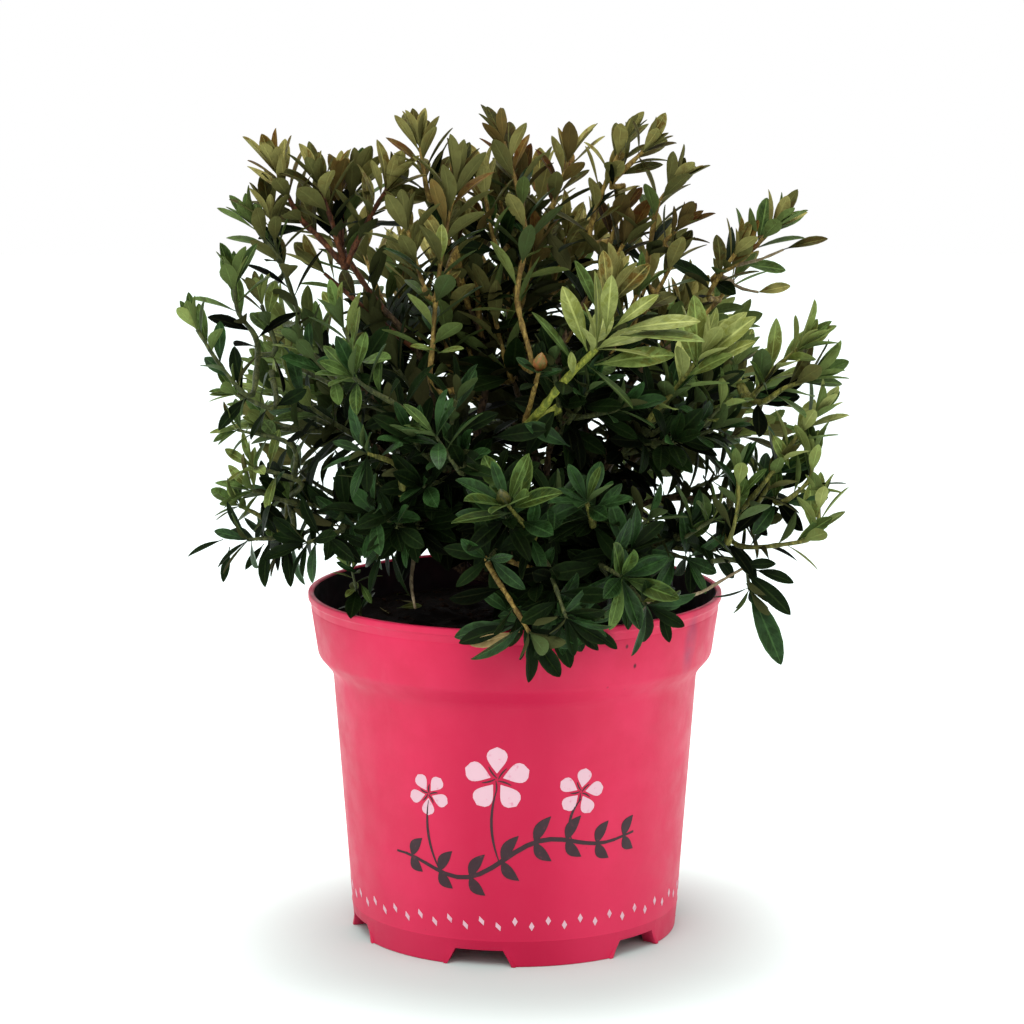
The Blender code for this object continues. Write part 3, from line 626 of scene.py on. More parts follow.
def pick(obj, test):
    """In edit mode, selects the vertices whose place passes a test."""
    bpy.ops.mesh.select_all(action="DESELECT")
    edited = bmesh.from_edit_mesh(obj.data)
    for vertex in edited.verts:
        vertex.select = test(vertex.co)
    edited.select_flush(True)
    bmesh.update_edit_mesh(obj.data)


def apply_modifier(obj, kind, **settings):
    take(obj)
    modifier = obj.modifiers.new(kind.lower(), kind)
    for key, value in settings.items():
        setattr(modifier, key, value)
    bpy.ops.object.modifier_apply(modifier=modifier.name)


def joined(name, objects):
    bpy.ops.object.select_all(action="DESELECT")
    for obj in objects:
        obj.select_set(True)
    bpy.context.view_layer.objects.active = objects[0]
    if len(objects) > 1:
        bpy.ops.object.join()
    made = bpy.context.active_object
    made.name = name
    made.data.name = name
    return made


def smooth(obj, angle_deg):
    take(obj)
    bpy.ops.object.shade_smooth_by_angle(angle=math.radians(angle_deg))


def tree_of(obj):
    """The object's faces as a search tree."""
    corners = [vertex.co for vertex in obj.data.vertices]
    return BVHTree.FromPolygons(corners, [tuple(face.vertices) for face in obj.data.polygons])


def turned(name, profile, steps):
    """A circle drawn ring by ring along (radius, height) points, with both ends closed by a flat face."""
    radius, height = profile[0]
    foot = (0, 0, height)
    obj = added(name, bpy.ops.mesh.primitive_circle_add, vertices=steps, radius=radius, location=foot)
    edit(settle(obj))
    bpy.ops.mesh.edge_face_add()
    bpy.ops.mesh.select_mode(type="EDGE")
    for next_radius, next_height in profile[1:]:
        growth = next_radius / radius
        bpy.ops.mesh.extrude_region_move(TRANSFORM_OT_translate={"value": (0, 0, next_height - height)})
        bpy.ops.transform.resize(value=(growth, growth, 1), center_override=(0, 0, next_height))
        radius, height = next_radius, next_height
    bpy.ops.mesh.edge_face_add()
    bpy.ops.mesh.select_mode(type="VERT")
    bpy.ops.mesh.select_all(action="SELECT")
    bpy.ops.mesh.normals_make_consistent(inside=False)
    leave_edit()
    return obj


def rounded(corners):
    """An open profile whose corners, each a radius, a height and a fillet, are drawn as arcs."""
    points = [Vector(corners[0][:2])]
    for before, corner, after in zip(corners, corners[1:], corners[2:]):
        here = Vector(corner[:2])
        back = Vector(before[:2]) - here
        ahead = Vector(after[:2]) - here
        cut = min(corner[2], 0.45 * back.length, 0.45 * ahead.length)
        if cut <= 0:
            points.append(here)
            continue
        first = here + back.normalized() * cut
        last = here + ahead.normalized() * cut
        for index in range(ROUNDING_STEPS + 1):
            t = index / ROUNDING_STEPS
            points.append(first * (1 - t) ** 2 + here * 2 * t * (1 - t) + last * t**2)
    points.append(Vector(corners[-1][:2]))
    return [tuple(point) for point in points]


# Materials


class Finish:
    """A material whose nodes are added and linked one by one."""

    def __init__(self, name, **constants):
        self.made = bpy.data.materials.new(name)
        self.made.use_nodes = True
        self.nodes = self.made.node_tree.nodes
        self.shader = self.nodes["Principled BSDF"]
        self.feed(self.shader, constants)

    def feed(self, node, values):
        """Sets or links the inputs of a node by their names or numbers."""
        for name, value in values.items():
            socket = node.inputs[name.replace("_", " ") if isinstance(name, str) else name]
            if isinstance(value, bpy.types.NodeSocket):
                self.made.node_tree.links.new(value, socket)
            else:
                socket.default_value = value

    def node(self, kind, *values, settings=(), **named):
        """A node of a kind with its settings, and values or links for its first inputs and for named ones."""
        node = self.nodes.new("ShaderNode" + kind)
        for key, value in settings:
            setattr(node, key, value)
        self.feed(node, {**dict(enumerate(values)), **named})
        return node

    def maths(self, operation, *values):
        return self.node("Math", *values, settings=[("operation", operation)]).outputs[0]

    def times(self, first, second):
        return self.maths("MULTIPLY", first, second)

    def plus(self, first, second):
        return self.maths("ADD", first, second)

    def place(self, scale=(1, 1, 1), shift=(0, 0, 0)):
        """The object's own coordinates, stretched and shifted."""
        coords = self.node("TexCoord").outputs["Object"]
        return self.node("Mapping", Vector=coords, Scale=scale, Location=shift).outputs[0]

    def attribute(self, name):
        return self.node("Attribute", settings=[("attribute_name", name)]).outputs["Fac"]

    def cloud(self, scale, detail=4.0, rough=0.55, stretch=(1, 1, 1), warp=0.0):
        """Noise from 0 to 1 of a scale in cells a metre."""
        return self.node(
            "TexNoise", Vector=self.place(stretch), Scale=scale, Detail=detail, Roughness=rough,
            Distortion=warp,
        ).outputs["Fac"]

    def spot(self, middle, near, far, stretch):
        """1 near a place of the object and 0 away from it."""
        middle = [along * scale for along, scale in zip(middle, stretch)]
        away = self.node("VectorMath", self.place(stretch), middle, settings=[("operation", "DISTANCE")])
        return self.ramp(away.outputs["Value"], near, far, 1.0, 0.0)

    def ramp(self, value, low, high, to_low=0.0, to_high=1.0):
        """A value eased from one range to another."""
        return self.node(
            "MapRange", Value=value, From_Min=low, From_Max=high, To_Min=to_low, To_Max=to_high,
            settings=[("interpolation_type", "SMOOTHSTEP")],
        ).outputs["Result"]

    def mix(self, share, first, second):
        """A colour between two, by the colour sockets of the node, which are its inputs 6 and 7."""
        node = self.node("Mix", share, settings=[("data_type", "RGBA")])
        self.feed(node, {6: first, 7: second})
        return node.outputs[2]

    def blend(self, share, dark, light):
        """A colour between two that are given in screen steps."""
        return self.mix(share, linear(dark), linear(light))

    def over(self, share, colour, steps):
        """A colour given in screen steps, laid over another by a share."""
        return self.mix(share, colour, linear(steps))

    def wear(self, colour, roughness, relief=None, depth=0.0, strength=1.0):
        """Gives the shader a colour, a roughness and a bump of a depth in metres from a height of 0 to 1."""
        self.feed(self.shader, {"Base Color": colour, "Roughness": roughness})
        if relief is not None:
            bump = self.node("Bump", Height=relief, Distance=depth, Strength=strength)
            self.feed(self.shader, {"Normal": bump.outputs["Normal"]})
        return self.made


def pink_plastic():
    made = Finish("pink plastic", IOR=1.46, Specular_IOR_Level=0.30)
    blotch = made.ramp(made.cloud(38, detail=5, rough=0.6), 0.30, 0.72)
    colour = made.blend(blotch, (198, 30, 70), (208, 36, 79))
    low = made.node("SeparateXYZ", made.place())
    height = made.ramp(low.outputs["Z"], 0.0, 0.10)
    colour = made.mix(height, made.over(0.5, colour, (206, 36, 80)), colour)
    # Painted shade: a darker, redder band down the middle of the pot
    aside = made.maths("ABSOLUTE", made.plus(low.outputs["X"], SHADE_BAND_SHIFT))
    colour = made.over(made.ramp(aside, SHADE_BAND * 0.2, SHADE_BAND, 1.0, 0.0), colour, (184, 8, 60))
    streak = made.ramp(made.cloud(60, detail=6, stretch=(1, 1, 0.12)), 0.62, 0.80)
    colour = made.over(made.times(streak, 0.12), colour, (232, 110, 140))
    scuff = made.ramp(made.cloud(210, detail=3, rough=0.7, warp=1.5), 0.735, 0.76)
    colour = made.over(made.times(scuff, 0.55), colour, (110, 22, 50))
    violet_patch = made.spot(VIOLET_PATCH, VIOLET_PATCH_REACH * 0.4, VIOLET_PATCH_REACH, (1, 1, 0.35))
    colour = made.over(made.times(made.cloud(160, detail=4), violet_patch), colour, (150, 46, 84))
    for place in SCRATCHES:
        colour = made.over(made.spot(place, 0.0004, SCRATCH_REACH, (1, 1, 0.7)), colour, (84, 16, 34))
    ripple = made.plus(made.times(made.cloud(900, detail=3), 0.12), made.cloud(28, detail=2))
    return made.wear(colour, made.ramp(made.cloud(90, detail=6), 0.3, 0.7, 0.40, 0.54), ripple, 0.0009, 0.35)


def dark_inside():
    made = Finish("dark pot inside", IOR=1.48, Specular_IOR_Level=0.10)
    colour = made.blend(made.ramp(made.cloud(70, detail=6), 0.35, 0.7), (14, 4, 8), (34, 10, 18))
    rough = made.ramp(made.cloud(120), 0.3, 0.7, 0.55, 0.75)
    return made.wear(colour, rough, made.cloud(500, detail=3), 0.0004, 0.3)


def ink(name, thin, full):
    """Printing ink, thinner in places, so that the plastic tints it."""
    made = Finish(name, IOR=1.45)
    colour = made.blend(made.ramp(made.cloud(300, detail=5, rough=0.6), 0.26, 0.42), thin, full)
    rough = made.ramp(made.cloud(300), 0.3, 0.7, 0.44, 0.56)
    return made.wear(colour, rough, made.cloud(1500, detail=2), 0.0001, 0.3)


def peat(name, dark, light):
    made = Finish(name, Specular_IOR_Level=0.06)
    fleck = made.ramp(made.cloud(650, detail=8, rough=0.7), 0.35, 0.70)
    damp = made.ramp(made.cloud(60, detail=3), 0.35, 0.65)
    colour = made.over(made.times(damp, 0.6), made.blend(fleck, dark, light), dark)
    rough = made.ramp(fleck, 0, 1, 0.82, 0.97)
    return made.wear(colour, rough, made.cloud(900, detail=8, rough=0.7), 0.0012, 0.8)


def bark(name, crack, light, rough=0.72):
    """Bark with fine lengthwise cracks, darker patches and small scales."""
    made = Finish(name, Specular_IOR_Level=0.3)
    fibre = made.ramp(made.cloud(420, detail=6, rough=0.65, stretch=(1, 1, 0.28), warp=0.6), 0.34, 0.66)
    patch = made.ramp(made.cloud(95, detail=4), 0.35, 0.70)
    colour = made.over(made.times(patch, 0.35), made.blend(fibre, crack, light), crack)
    scales = made.ramp(made.cloud(640, detail=2, rough=0.5), 0.48, 0.60, 0.0, 0.6)
    colour = made.over(scales, colour, crack)
    return made.wear(colour, made.ramp(fibre, 0, 1, rough + 0.12, rough - 0.08), fibre, 0.0005, 0.7)


def leaf_finish(name, tone):
    """A leaf's skin: paler midrib and side veins by its own UV, a painted highlight along its margin, painted
    shade towards its foot, a duller underside, and its own tint.
    """
    made = Finish("leaf " + name, IOR=1.42, Specular_IOR_Level=tone.gloss)
    flat = made.node("UVMap", settings=[("uv_map", "UVMap")])
    parts = made.node("SeparateXYZ", flat.outputs[0])
    along = parts.outputs["Y"]
    under = made.maths("GREATER_THAN", parts.outputs["X"], 1.01)
    across = made.maths("ABSOLUTE", made.maths("SUBTRACT", made.maths("FRACT", parts.outputs["X"]), 0.5))
    rib = made.ramp(across, 0.02, 0.065, 1.0, 0.0)
    slant = made.maths("SUBTRACT", made.times(along, 62.0), made.times(across, 20.0))
    veins = made.ramp(made.maths("SINE", slant), 0.72, 1.0)
    shade = made.times(made.cloud(190, detail=4, rough=0.6), 1.5)
    share = made.ramp(made.plus(made.attribute("tint"), shade), 0.55, 1.95)
    dark, light = linear(tone.dark), linear(tone.light)
    colour = made.mix(share, dark, light)
    patch = made.ramp(made.cloud(150, detail=5, rough=0.65, warp=0.8), 0.47, 0.58, 0.0, 0.75)
    colour = made.over(patch, colour, tone.blotch)
    pale = (*(step * PALE_RIB_AND_EDGE_HIGHLIGHT + lift for step, lift in zip(light, PALE_RIB_AND_EDGE_HIGHLIGHT_LIFT)), 1.0)
    rib_veins_and_edge_highlight = made.plus(made.times(rib, 0.42), made.times(veins, 0.08))
    # Painted highlight: a paler margin, where light catches the leaf's edge
    rib_veins_and_edge_highlight = made.plus(rib_veins_and_edge_highlight, made.ramp(across, 0.36, 0.48, 0.0, 0.25))
    colour = made.mix(rib_veins_and_edge_highlight, colour, pale)
    # Painted shade: the leaf is darker towards its foot
    colour = made.mix(made.ramp(along, 0.05, 0.60, 0.60, 0.0), colour, dark)
    colour = made.mix(made.times(under, 0.5), colour, made.over(0.35, light, (138, 136, 86)))
    rough = made.ramp(made.plus(under, made.cloud(260)), 0.3, 1.8, tone.rough - 0.05, tone.rough + 0.28)
    dents = made.plus(made.times(rib, -1.0), made.times(veins, -0.35))
    dents = made.plus(dents, made.times(made.cloud(700, detail=2), 0.5))
    return made.wear(colour, rough, dents, 0.0004, 0.5)


def bud_scale():
    made = Finish("bud scales", IOR=1.45)
    flush = made.ramp(made.cloud(380, detail=3), 0.35, 0.68)
    green = made.blend(flush, (40, 52, 18), (94, 90, 36))
    brown = made.blend(flush, (96, 92, 36), (154, 84, 44))
    colour = made.mix(made.attribute("tint"), green, brown)
    rough = made.ramp(flush, 0, 1, 0.42, 0.55)
    return made.wear(colour, rough, made.cloud(1400, stretch=(1, 1, 0.3)), 0.0003, 0.6)


def studio_floor():
    """White paper that shows the soft shadow round the pot and glows to pure white away from it."""
    made = Finish("studio floor", Specular_IOR_Level=0.1, Emission_Color=(1, 1, 1, 1))
    away = made.node("VectorMath", made.place(shift=(0, SHADOW_AHEAD, 0)), settings=[("operation", "LENGTH")])
    glow = made.ramp(away.outputs["Value"], SHADOW_REACH, CLEAR_REACH, 0.0, 0.5)
    made.feed(made.shader, {"Emission Strength": glow})
    colour = made.blend(made.cloud(3, detail=2), (204, 220, 216), (207, 222, 218))
    return made.wear(colour, made.ramp(made.cloud(40), 0.3, 0.7, 0.6, 0.7))


# Pot


def wall_radius(height):
    """The pot wall's outer radius below the collar."""
    return BASE_RADIUS + (BODY_TOP_RADIUS - BASE_RADIUS) * height / BODY_TOP_HEIGHT


def collar_radius(height):
    """The collar's outer radius."""
    share = (height - COLLAR_FOOT_HEIGHT) / (POT_HEIGHT - LIP_HEIGHT - COLLAR_FOOT_HEIGHT)
    return COLLAR_FOOT_RADIUS + (RIM_RADIUS - LIP_PROUD - COLLAR_FOOT_RADIUS) * share


def pot_corners():
    """Radius, height and fillet of each corner, from under the plate up to the lip and down inside."""
    plate_top = PLATE_HEIGHT + PLATE_THICKNESS
    lip_foot = POT_HEIGHT - LIP_HEIGHT
    ridge = wall_radius(RIDGE_HEIGHT)
    groove = collar_radius(GROOVE_HEIGHT)
    return [
        (PLATE_MIDDLE, PLATE_HEIGHT, 0.0),
        (wall_radius(PLATE_HEIGHT) - WALL, PLATE_HEIGHT, 0.0010),
        (BASE_RADIUS - WALL, 0.0, 0.0004),
        (BASE_RADIUS - 0.0002, 0.0, 0.0008),
        (ridge, RIDGE_HEIGHT - RIDGE_HALF, 0.0),
        (ridge + RIDGE_PROUD, RIDGE_HEIGHT, 0.0002),
        (ridge, RIDGE_HEIGHT + RIDGE_HALF, 0.0),
        (BODY_TOP_RADIUS, BODY_TOP_HEIGHT, 0.0030),
        (COLLAR_FOOT_RADIUS, COLLAR_FOOT_HEIGHT, 0.0016),
        (groove, GROOVE_HEIGHT - GROOVE_HALF, 0.0),
        (groove - GROOVE_DEPTH, GROOVE_HEIGHT, 0.0002),
        (groove, GROOVE_HEIGHT + GROOVE_HALF, 0.0),
        (RIM_RADIUS - LIP_PROUD, lip_foot - LIP_PROUD, 0.0006),
        (RIM_RADIUS, lip_foot, 0.0004),
        (RIM_RADIUS, POT_HEIGHT, 0.0009),
        (RIM_RADIUS - LIP_PROUD - WALL, POT_HEIGHT, 0.0008),
        (COLLAR_FOOT_RADIUS - WALL, COLLAR_FOOT_HEIGHT, 0.0010),
        (BODY_TOP_RADIUS - WALL, BODY_TOP_HEIGHT, 0.0020),
        (wall_radius(plate_top) - WALL, plate_top, 0.0020),
        (PLATE_MIDDLE, plate_top, 0.0),
    ]


def bar(name, inner, outer, low_half, high_half, low, high, side=0.0, lean=0.0):
    """A cube drawn to a trapezium bar that lies along X, with its upper face drawn in."""
    middle = ((inner + outer) / 2, side, (low + high) / 2)
    obj = added(name, bpy.ops.mesh.primitive_cube_add, size=1, location=middle)
    obj.scale = (outer - inner, 2 * low_half, high - low)
    edit(settle(obj))
    pick(obj, lambda place: place.z > middle[2])
    bpy.ops.transform.resize(value=(1, high_half / low_half, 1), center_override=(0, side, high))
    bpy.ops.transform.translate(value=(0, lean, 0))
    leave_edit()
    return obj


def round_the_foot(models):
    """Copies of the models at each notch, turned about the pot's axis."""
    made = []
    for index in range(NOTCH_COUNT):
        turn = Matrix.Rotation(math.radians(NOTCH_FIRST_DEG + 360 / NOTCH_COUNT * index), 4, "Z")
        for model in models:
            copy = linked(model.name, model.data.copy())
            copy.data.transform(turn)
            made.append(copy)
    for model in models:
        bpy.data.objects.remove(model)
    return made


def build_pot():
    pot = turned("nursery_pot", rounded(pot_corners()), TURN_STEPS)
    reach = CHEEK_DEPTH + WALL
    draw_in = (NOTCH_FOOT_WIDTH - NOTCH_TOP_WIDTH) / 2
    notch = bar(
        "notch", BASE_RADIUS - reach, BASE_RADIUS + reach, NOTCH_FOOT_WIDTH / 2 + draw_in,
        NOTCH_TOP_WIDTH / 2, -NOTCH_HEIGHT, NOTCH_HEIGHT,
    )
    top = PLATE_HEIGHT + CHEEK_INTO_PLATE
    half = CHEEK_THICKNESS / 2
    outer = BASE_RADIUS - WALL / 2
    cheeks = [
        bar(
            f"cheek{side}", outer - CHEEK_DEPTH, outer, half, half, CHEEK_FOOT, top,
            side * (NOTCH_FOOT_WIDTH / 2 + half - CHEEK_OVERLAP), -side * draw_in * top / NOTCH_HEIGHT,
        )
        for side in (1, -1)
    ]
    drain = added(
        "drain", bpy.ops.mesh.primitive_cylinder_add, vertices=DRAIN_SIDES, radius=DRAIN_RADIUS,
        depth=4 * PLATE_THICKNESS, location=(DRAIN_RING, 0, PLATE_HEIGHT + PLATE_THICKNESS / 2),
    )
    settle(drain)
    walls = joined("cheeks", round_the_foot(cheeks))
    cuts = joined("cuts", round_the_foot([notch, drain]))
    apply_modifier(pot, "BOOLEAN", operation="UNION", object=walls, solver="EXACT")
    apply_modifier(pot, "BOOLEAN", operation="DIFFERENCE", object=cuts, solver="EXACT")
    bpy.data.objects.remove(walls)
    bpy.data.objects.remove(cuts)
    bevel_from = math.radians(50)
    apply_modifier(pot, "BEVEL", width=CORNER_BEVEL, segments=2, limit_method="ANGLE", angle_limit=bevel_from)
    smooth(pot, 40)
    pot.data.materials.append(pink_plastic())
    pot.data.materials.append(dark_inside())
    for face in pot.data.polygons:
        level = Vector((face.center.x, face.center.y, 0))
        facing_in = level.length > 0.02 and face.normal.dot(level.normalized()) < -0.5
        if facing_in and PLATE_HEIGHT < face.center.z < POT_HEIGHT - INSIDE_BELOW_RIM:
            face.material_index = 1
    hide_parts("pot")
    return pot


# Print on the pot: a trailing spray with blossoms, in the plane of the unrolled wall

INK_PROUD = 0.00012
VINE_HALF_SPAN = 0.058
VINE_HEIGHT = 0.052
# The two waves of the vine: how high each rises, how often in half its span, and where it starts
VINE_WAVES = ((0.008, 2.4, 0.0), (0.004, 6.0, 0.6))
VINE_WIDTH = 0.0011
VINE_PIECES = 22
VINE_OVERLAP = 1.04
VINE_LEAF_PAIRS = 8
VINE_LEAF_LENGTH = 0.0145
VINE_LEAF_HALF_WIDTH = 0.0026
# Each blossom's middle on the unrolled wall, its radius and its turn
BLOSSOMS = [((-0.008, 0.088), 0.0150, 0.3), ((-0.040, 0.079), 0.0100, 0.9), ((0.030, 0.081), 0.0110, 0.1)]
PETALS = 5
BEADS = 64
BEAD_HEIGHT = 0.0205
BEAD_HALF = 0.0021


def wrapped(across, height, proud):
    """A point of the unrolled wall, by its run round the front and its height, laid on the wall."""
    radius = wall_radius(height)
    angle = -math.pi / 2 + across / radius
    return Vector(((radius + proud) * math.cos(angle), (radius + proud) * math.sin(angle), height))


def vine_height(across):
    share = across / VINE_HALF_SPAN
    height = VINE_HEIGHT
    for rise, turns, start in VINE_WAVES:
        height += rise * math.sin(turns * share + start)
    return height


def printed(name, start, finish, width, bend, outline, rows=12):
    """A grid laid on the wall from one flat point to another, with a half width by its share of the way."""
    obj = added(name, bpy.ops.mesh.primitive_grid_add, x_subdivisions=2, y_subdivisions=rows, size=1)
    start, finish = Vector(start), Vector(finish)
    run = finish - start
    aside = Vector((-run.y, run.x)).normalized()
    for vertex in obj.data.vertices:
        share = vertex.co.y + 0.5
        offset = aside * (bend * 4 * share * (1 - share) + vertex.co.x * 2 * width * outline(share))
        flat = start + run * share + offset
        vertex.co = wrapped(flat.x, flat.y, INK_PROUD)
    return obj


def petal_outline(share):
    return math.sin(math.pi * share**1.6) ** 0.6 if 0 < share < 1 else 0.03


def leaf_outline(share):
    return math.sin(math.pi * share**0.9) ** 0.9 if 0 < share < 1 else 0.04


def line_outline(share):
    return 0.35 + 0.65 * math.sin(math.pi * min(max(share, 0.02), 0.98))


def ink_piece(name, objects, look):
    """Joins printed shapes, turns their faces outwards and gives the ink its thickness."""
    obj = joined(name, objects)
    obj.data.materials.clear()
    obj.data.materials.append(look)
    flipped = bmesh.new()
    flipped.from_mesh(obj.data)
    for face in flipped.faces:
        centre = face.calc_center_median()
        if face.normal.dot(Vector((centre.x, centre.y, 0))) < 0:
            face.normal_flip()
    flipped.to_mesh(obj.data)
    flipped.free()
    apply_modifier(obj, "SOLIDIFY", thickness=2 * INK_PROUD, offset=-1)
    smooth(obj, 40)
    return obj


def diamond_outline(share):
    return 1.02 - abs(2 * share - 1)


def turned_to(angle):
    """The flat unit vector at an angle in radians."""
    return Vector((math.cos(angle), math.sin(angle)))


def build_print():
    dark, pale = [], []
    for index in range(VINE_PIECES):
        shares = ((index + end) / VINE_PIECES for end in (0.0, VINE_OVERLAP))
        ends = (-VINE_HALF_SPAN + 2 * VINE_HALF_SPAN * share for share in shares)
        first, last = ((across, vine_height(across)) for across in ends)
        taper = 1.0 - 0.6 * abs(2 * (index + 0.5) / VINE_PIECES - 1) ** 2
        dark.append(printed("vine", first, last, VINE_WIDTH * taper, 0.0, lambda share: 1.0, rows=4))
    for index in range(VINE_LEAF_PAIRS):
        across = VINE_HALF_SPAN * (2 * (index + 0.6) / VINE_LEAF_PAIRS - 1)
        root = Vector((across, vine_height(across)))
        length = VINE_LEAF_LENGTH - 0.004 * abs(2 * index / (VINE_LEAF_PAIRS - 1) - 1)
        for side, lean_deg, share in ((1, 58, 1.0), (-1, -50, 0.85)):
            tip = root + turned_to(math.radians(lean_deg)) * length * share
            dark.append(printed("leaf", root, tip, VINE_LEAF_HALF_WIDTH, side * 0.0012, leaf_outline, rows=8))
    for (across, height), radius, turn in BLOSSOMS:
        middle = Vector((across, height))
        foot = (across * 0.86, vine_height(across * 0.86))
        tip = (across, height - radius * 0.3)
        dark.append(printed("stalk", foot, tip, 0.0006, 0.003, line_outline, rows=10))
        for petal in range(PETALS):
            angle = turn + 2 * math.pi * petal / PETALS
            away = turned_to(angle) * radius
            start = middle + away * 0.20
            tip = start + away * 0.8
            pale.append(printed("petal", start, tip, radius * 0.31, 0.0, petal_outline, rows=8))
            start = middle + away * 0.05
            tip = start + turned_to(angle + 0.63) * radius * 0.42
            dark.append(printed("stamen", start, tip, 0.00035, 0.0004, line_outline, rows=5))
    for index in range(BEADS):
        height = BEAD_HEIGHT + 0.0012 * (-1) ** index
        across = 2 * math.pi * wall_radius(height) * index / BEADS
        low, high = ((across, height + side * BEAD_HALF) for side in (-1, 1))
        pale.append(printed("bead", low, high, 0.0012, 0.0, diamond_outline, rows=4))
    for name, objects, thin, full in (
        ("print_dark", dark, (96, 18, 44), (44, 10, 24)),
        ("print_pale", pale, (206, 128, 152), (214, 172, 184)),
    ):
        made = ink_piece(name, objects, ink(name.replace("_", " ") + " ink", thin, full))
        finished.append(made)


# Compost


def build_compost():
    inset = WALL + GAP
    floor_height = PLATE_HEIGHT + PLATE_THICKNESS + GAP
    edge = collar_radius(COMPOST_HEIGHT) - inset
    sides = [
        (wall_radius(floor_height) - inset, floor_height),
        (BODY_TOP_RADIUS - inset, BODY_TOP_HEIGHT),
        (COLLAR_FOOT_RADIUS - inset, COLLAR_FOOT_HEIGHT),
    ]
    shares = [index / COMPOST_RINGS for index in range(COMPOST_RINGS)]
    top = [(edge * (1 - share), COMPOST_HEIGHT + COMPOST_CROWN * min(1.0, 1.4 * share)) for share in shares]
    soil = turned("compost_surface", sides + top, COMPOST_STEPS)
    for vertex in soil.data.vertices:
        place = vertex.co
        rise = noise.fractal(place * CLODS_PER_METRE, 0.7, 2.1, 5)
        rise += 0.6 * noise.noise(place * WAVES_PER_METRE)
        inward = min(1.0, (edge - math.hypot(place.x, place.y)) / COMPOST_EDGE)
        if place.z >= COMPOST_HEIGHT - 1e-6:
            place.z += COMPOST_RELIEF * rise * (0.35 + 0.65 * inward)
    smooth(soil, 60)
    soil.data.materials.append(peat("compost", (7, 4, 3), (38, 24, 16)))
    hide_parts("compost")
    finished.append(soil)
    return tree_of(soil)


def below(ground, place):
    """The point of the ground under a place, or None."""
    return ground.ray_cast(place + ABOVE_ALL, DOWN)[0]


def build_crumbs(ground):
    """Bark chips and crumbs that lie on the compost."""
    chip = added("chip", bpy.ops.mesh.primitive_ico_sphere_add, subdivisions=1, radius=0.5)
    edit(chip)
    bpy.ops.mesh.bisect(plane_co=(0, 0, -0.2), plane_no=(0, 0.2, 1), clear_inner=True, use_fill=True)
    leave_edit()
    rule = random.Random("crumbs")
    places = []
    tints = []
    while len(places) < CRUMB_COUNT:
        angle = rule.uniform(0, 2 * math.pi)
        radius = CRUMB_REACH * math.sqrt(rule.random())
        spot = below(ground, Vector((radius * math.cos(angle), radius * math.sin(angle), 0)))
        if spot is None:
            continue
        size = CRUMB_SIZE + CRUMB_SIZE_RANGE * rule.random() ** 2
        turn = Matrix.Rotation(rule.uniform(0, 6.28), 4, "Z")
        turn = turn @ Matrix.Rotation(rule.uniform(-0.5, 0.5), 4, "X")
        shape = Matrix.Diagonal((size, size * rule.uniform(0.4, 0.8), size * rule.uniform(0.25, 0.5), 1))
        places.append(Matrix.Translation(spot) @ turn @ shape)
        tints.append(rule.random())
    made = copies("bark_chips", [(chip.data, places, tints)])
    bpy.data.objects.remove(chip)
    smooth(made, 25)
    made.data.materials.append(peat("bark chips", (14, 8, 5), (62, 40, 26)))
    finished.append(made)


def values_of(items, key, width=1, kind=np.int64):
    """One value of each of a mesh's parts in a flat array."""
    values = np.empty(len(items) * width, dtype=kind)
    items.foreach_get(key, values)
    return values


def copies(name, groups):
    """One mesh of many copies: for each model mesh, a list of places and a tint for each copy."""
    corners, starts, sizes, loops, flats, tints = [], [], [], [], [], []
    point_count = loop_count = 0
    for model, places, shades in groups:
        if not places:
            continue
        base = values_of(model.vertices, "co", 3, float).reshape(-1, 3)
        base = np.hstack((base, np.ones((len(base), 1))))
        index = values_of(model.loops, "vertex_index")
        start = values_of(model.polygons, "loop_start")
        size = values_of(model.polygons, "loop_total")
        if model.uv_layers:
            uv = values_of(model.uv_layers.active.data, "uv", 2, float)
        else:
            uv = np.zeros(len(index) * 2)
        turns = np.array([[tuple(row) for row in place] for place in places])
        corners.append(np.einsum("kij,nj->kni", turns, base)[:, :, :3].reshape(-1, 3))
        count = len(places)
        lift = np.arange(count)[:, None]
        loops.append((index[None] + point_count + lift * len(base)).ravel())
        starts.append((start[None] + loop_count + lift * len(index)).ravel())
        sizes.append(np.tile(size, count))
        flats.append(np.tile(uv, count))
        tints.append(np.repeat(shades, len(base)))
        point_count += count * len(base)
        loop_count += count * len(index)
    mesh = bpy.data.meshes.new(name)
    mesh.vertices.add(point_count)
    mesh.vertices.foreach_set("co", np.concatenate(corners).ravel())
    mesh.loops.add(loop_count)
    mesh.loops.foreach_set("vertex_index", np.concatenate(loops))
    mesh.polygons.add(sum(len(block) for block in starts))
    mesh.polygons.foreach_set("loop_start", np.concatenate(starts))
    mesh.polygons.foreach_set("loop_total", np.concatenate(sizes))
    mesh.uv_layers.new(name="UVMap").data.foreach_set("uv", np.concatenate(flats))
    mesh.attributes.new("tint", "FLOAT", "POINT").data.foreach_set("value", np.concatenate(tints))
    mesh.update(calc_edges=True)
    mesh.validate()
    return linked(name, mesh)


# Limbs, by the rule of the solids

Limb = namedtuple("Limb", "start control end")


def direction(bearing, lift):
    """The unit vector at a bearing from +X and a lift above level, in degrees."""
    across = math.cos(math.radians(lift))
    return Vector((
        across * math.cos(math.radians(bearing)),
        across * math.sin(math.radians(bearing)),
        math.sin(math.radians(lift)),
    ))


def on_axis(mass, share):
    """The point at a share of a mass's reach from the heart of the crown."""
    return HEART + direction(mass.bearing, mass.lift) * mass.reach * share


def arc(limb, steps=LIMB_STEPS):
    """Points on a limb's quadratic curve."""
    return [
        limb.start * (1 - t) ** 2 + limb.control * 2 * t * (1 - t) + limb.end * t**2
        for t in (index / steps for index in range(steps + 1))
    ]


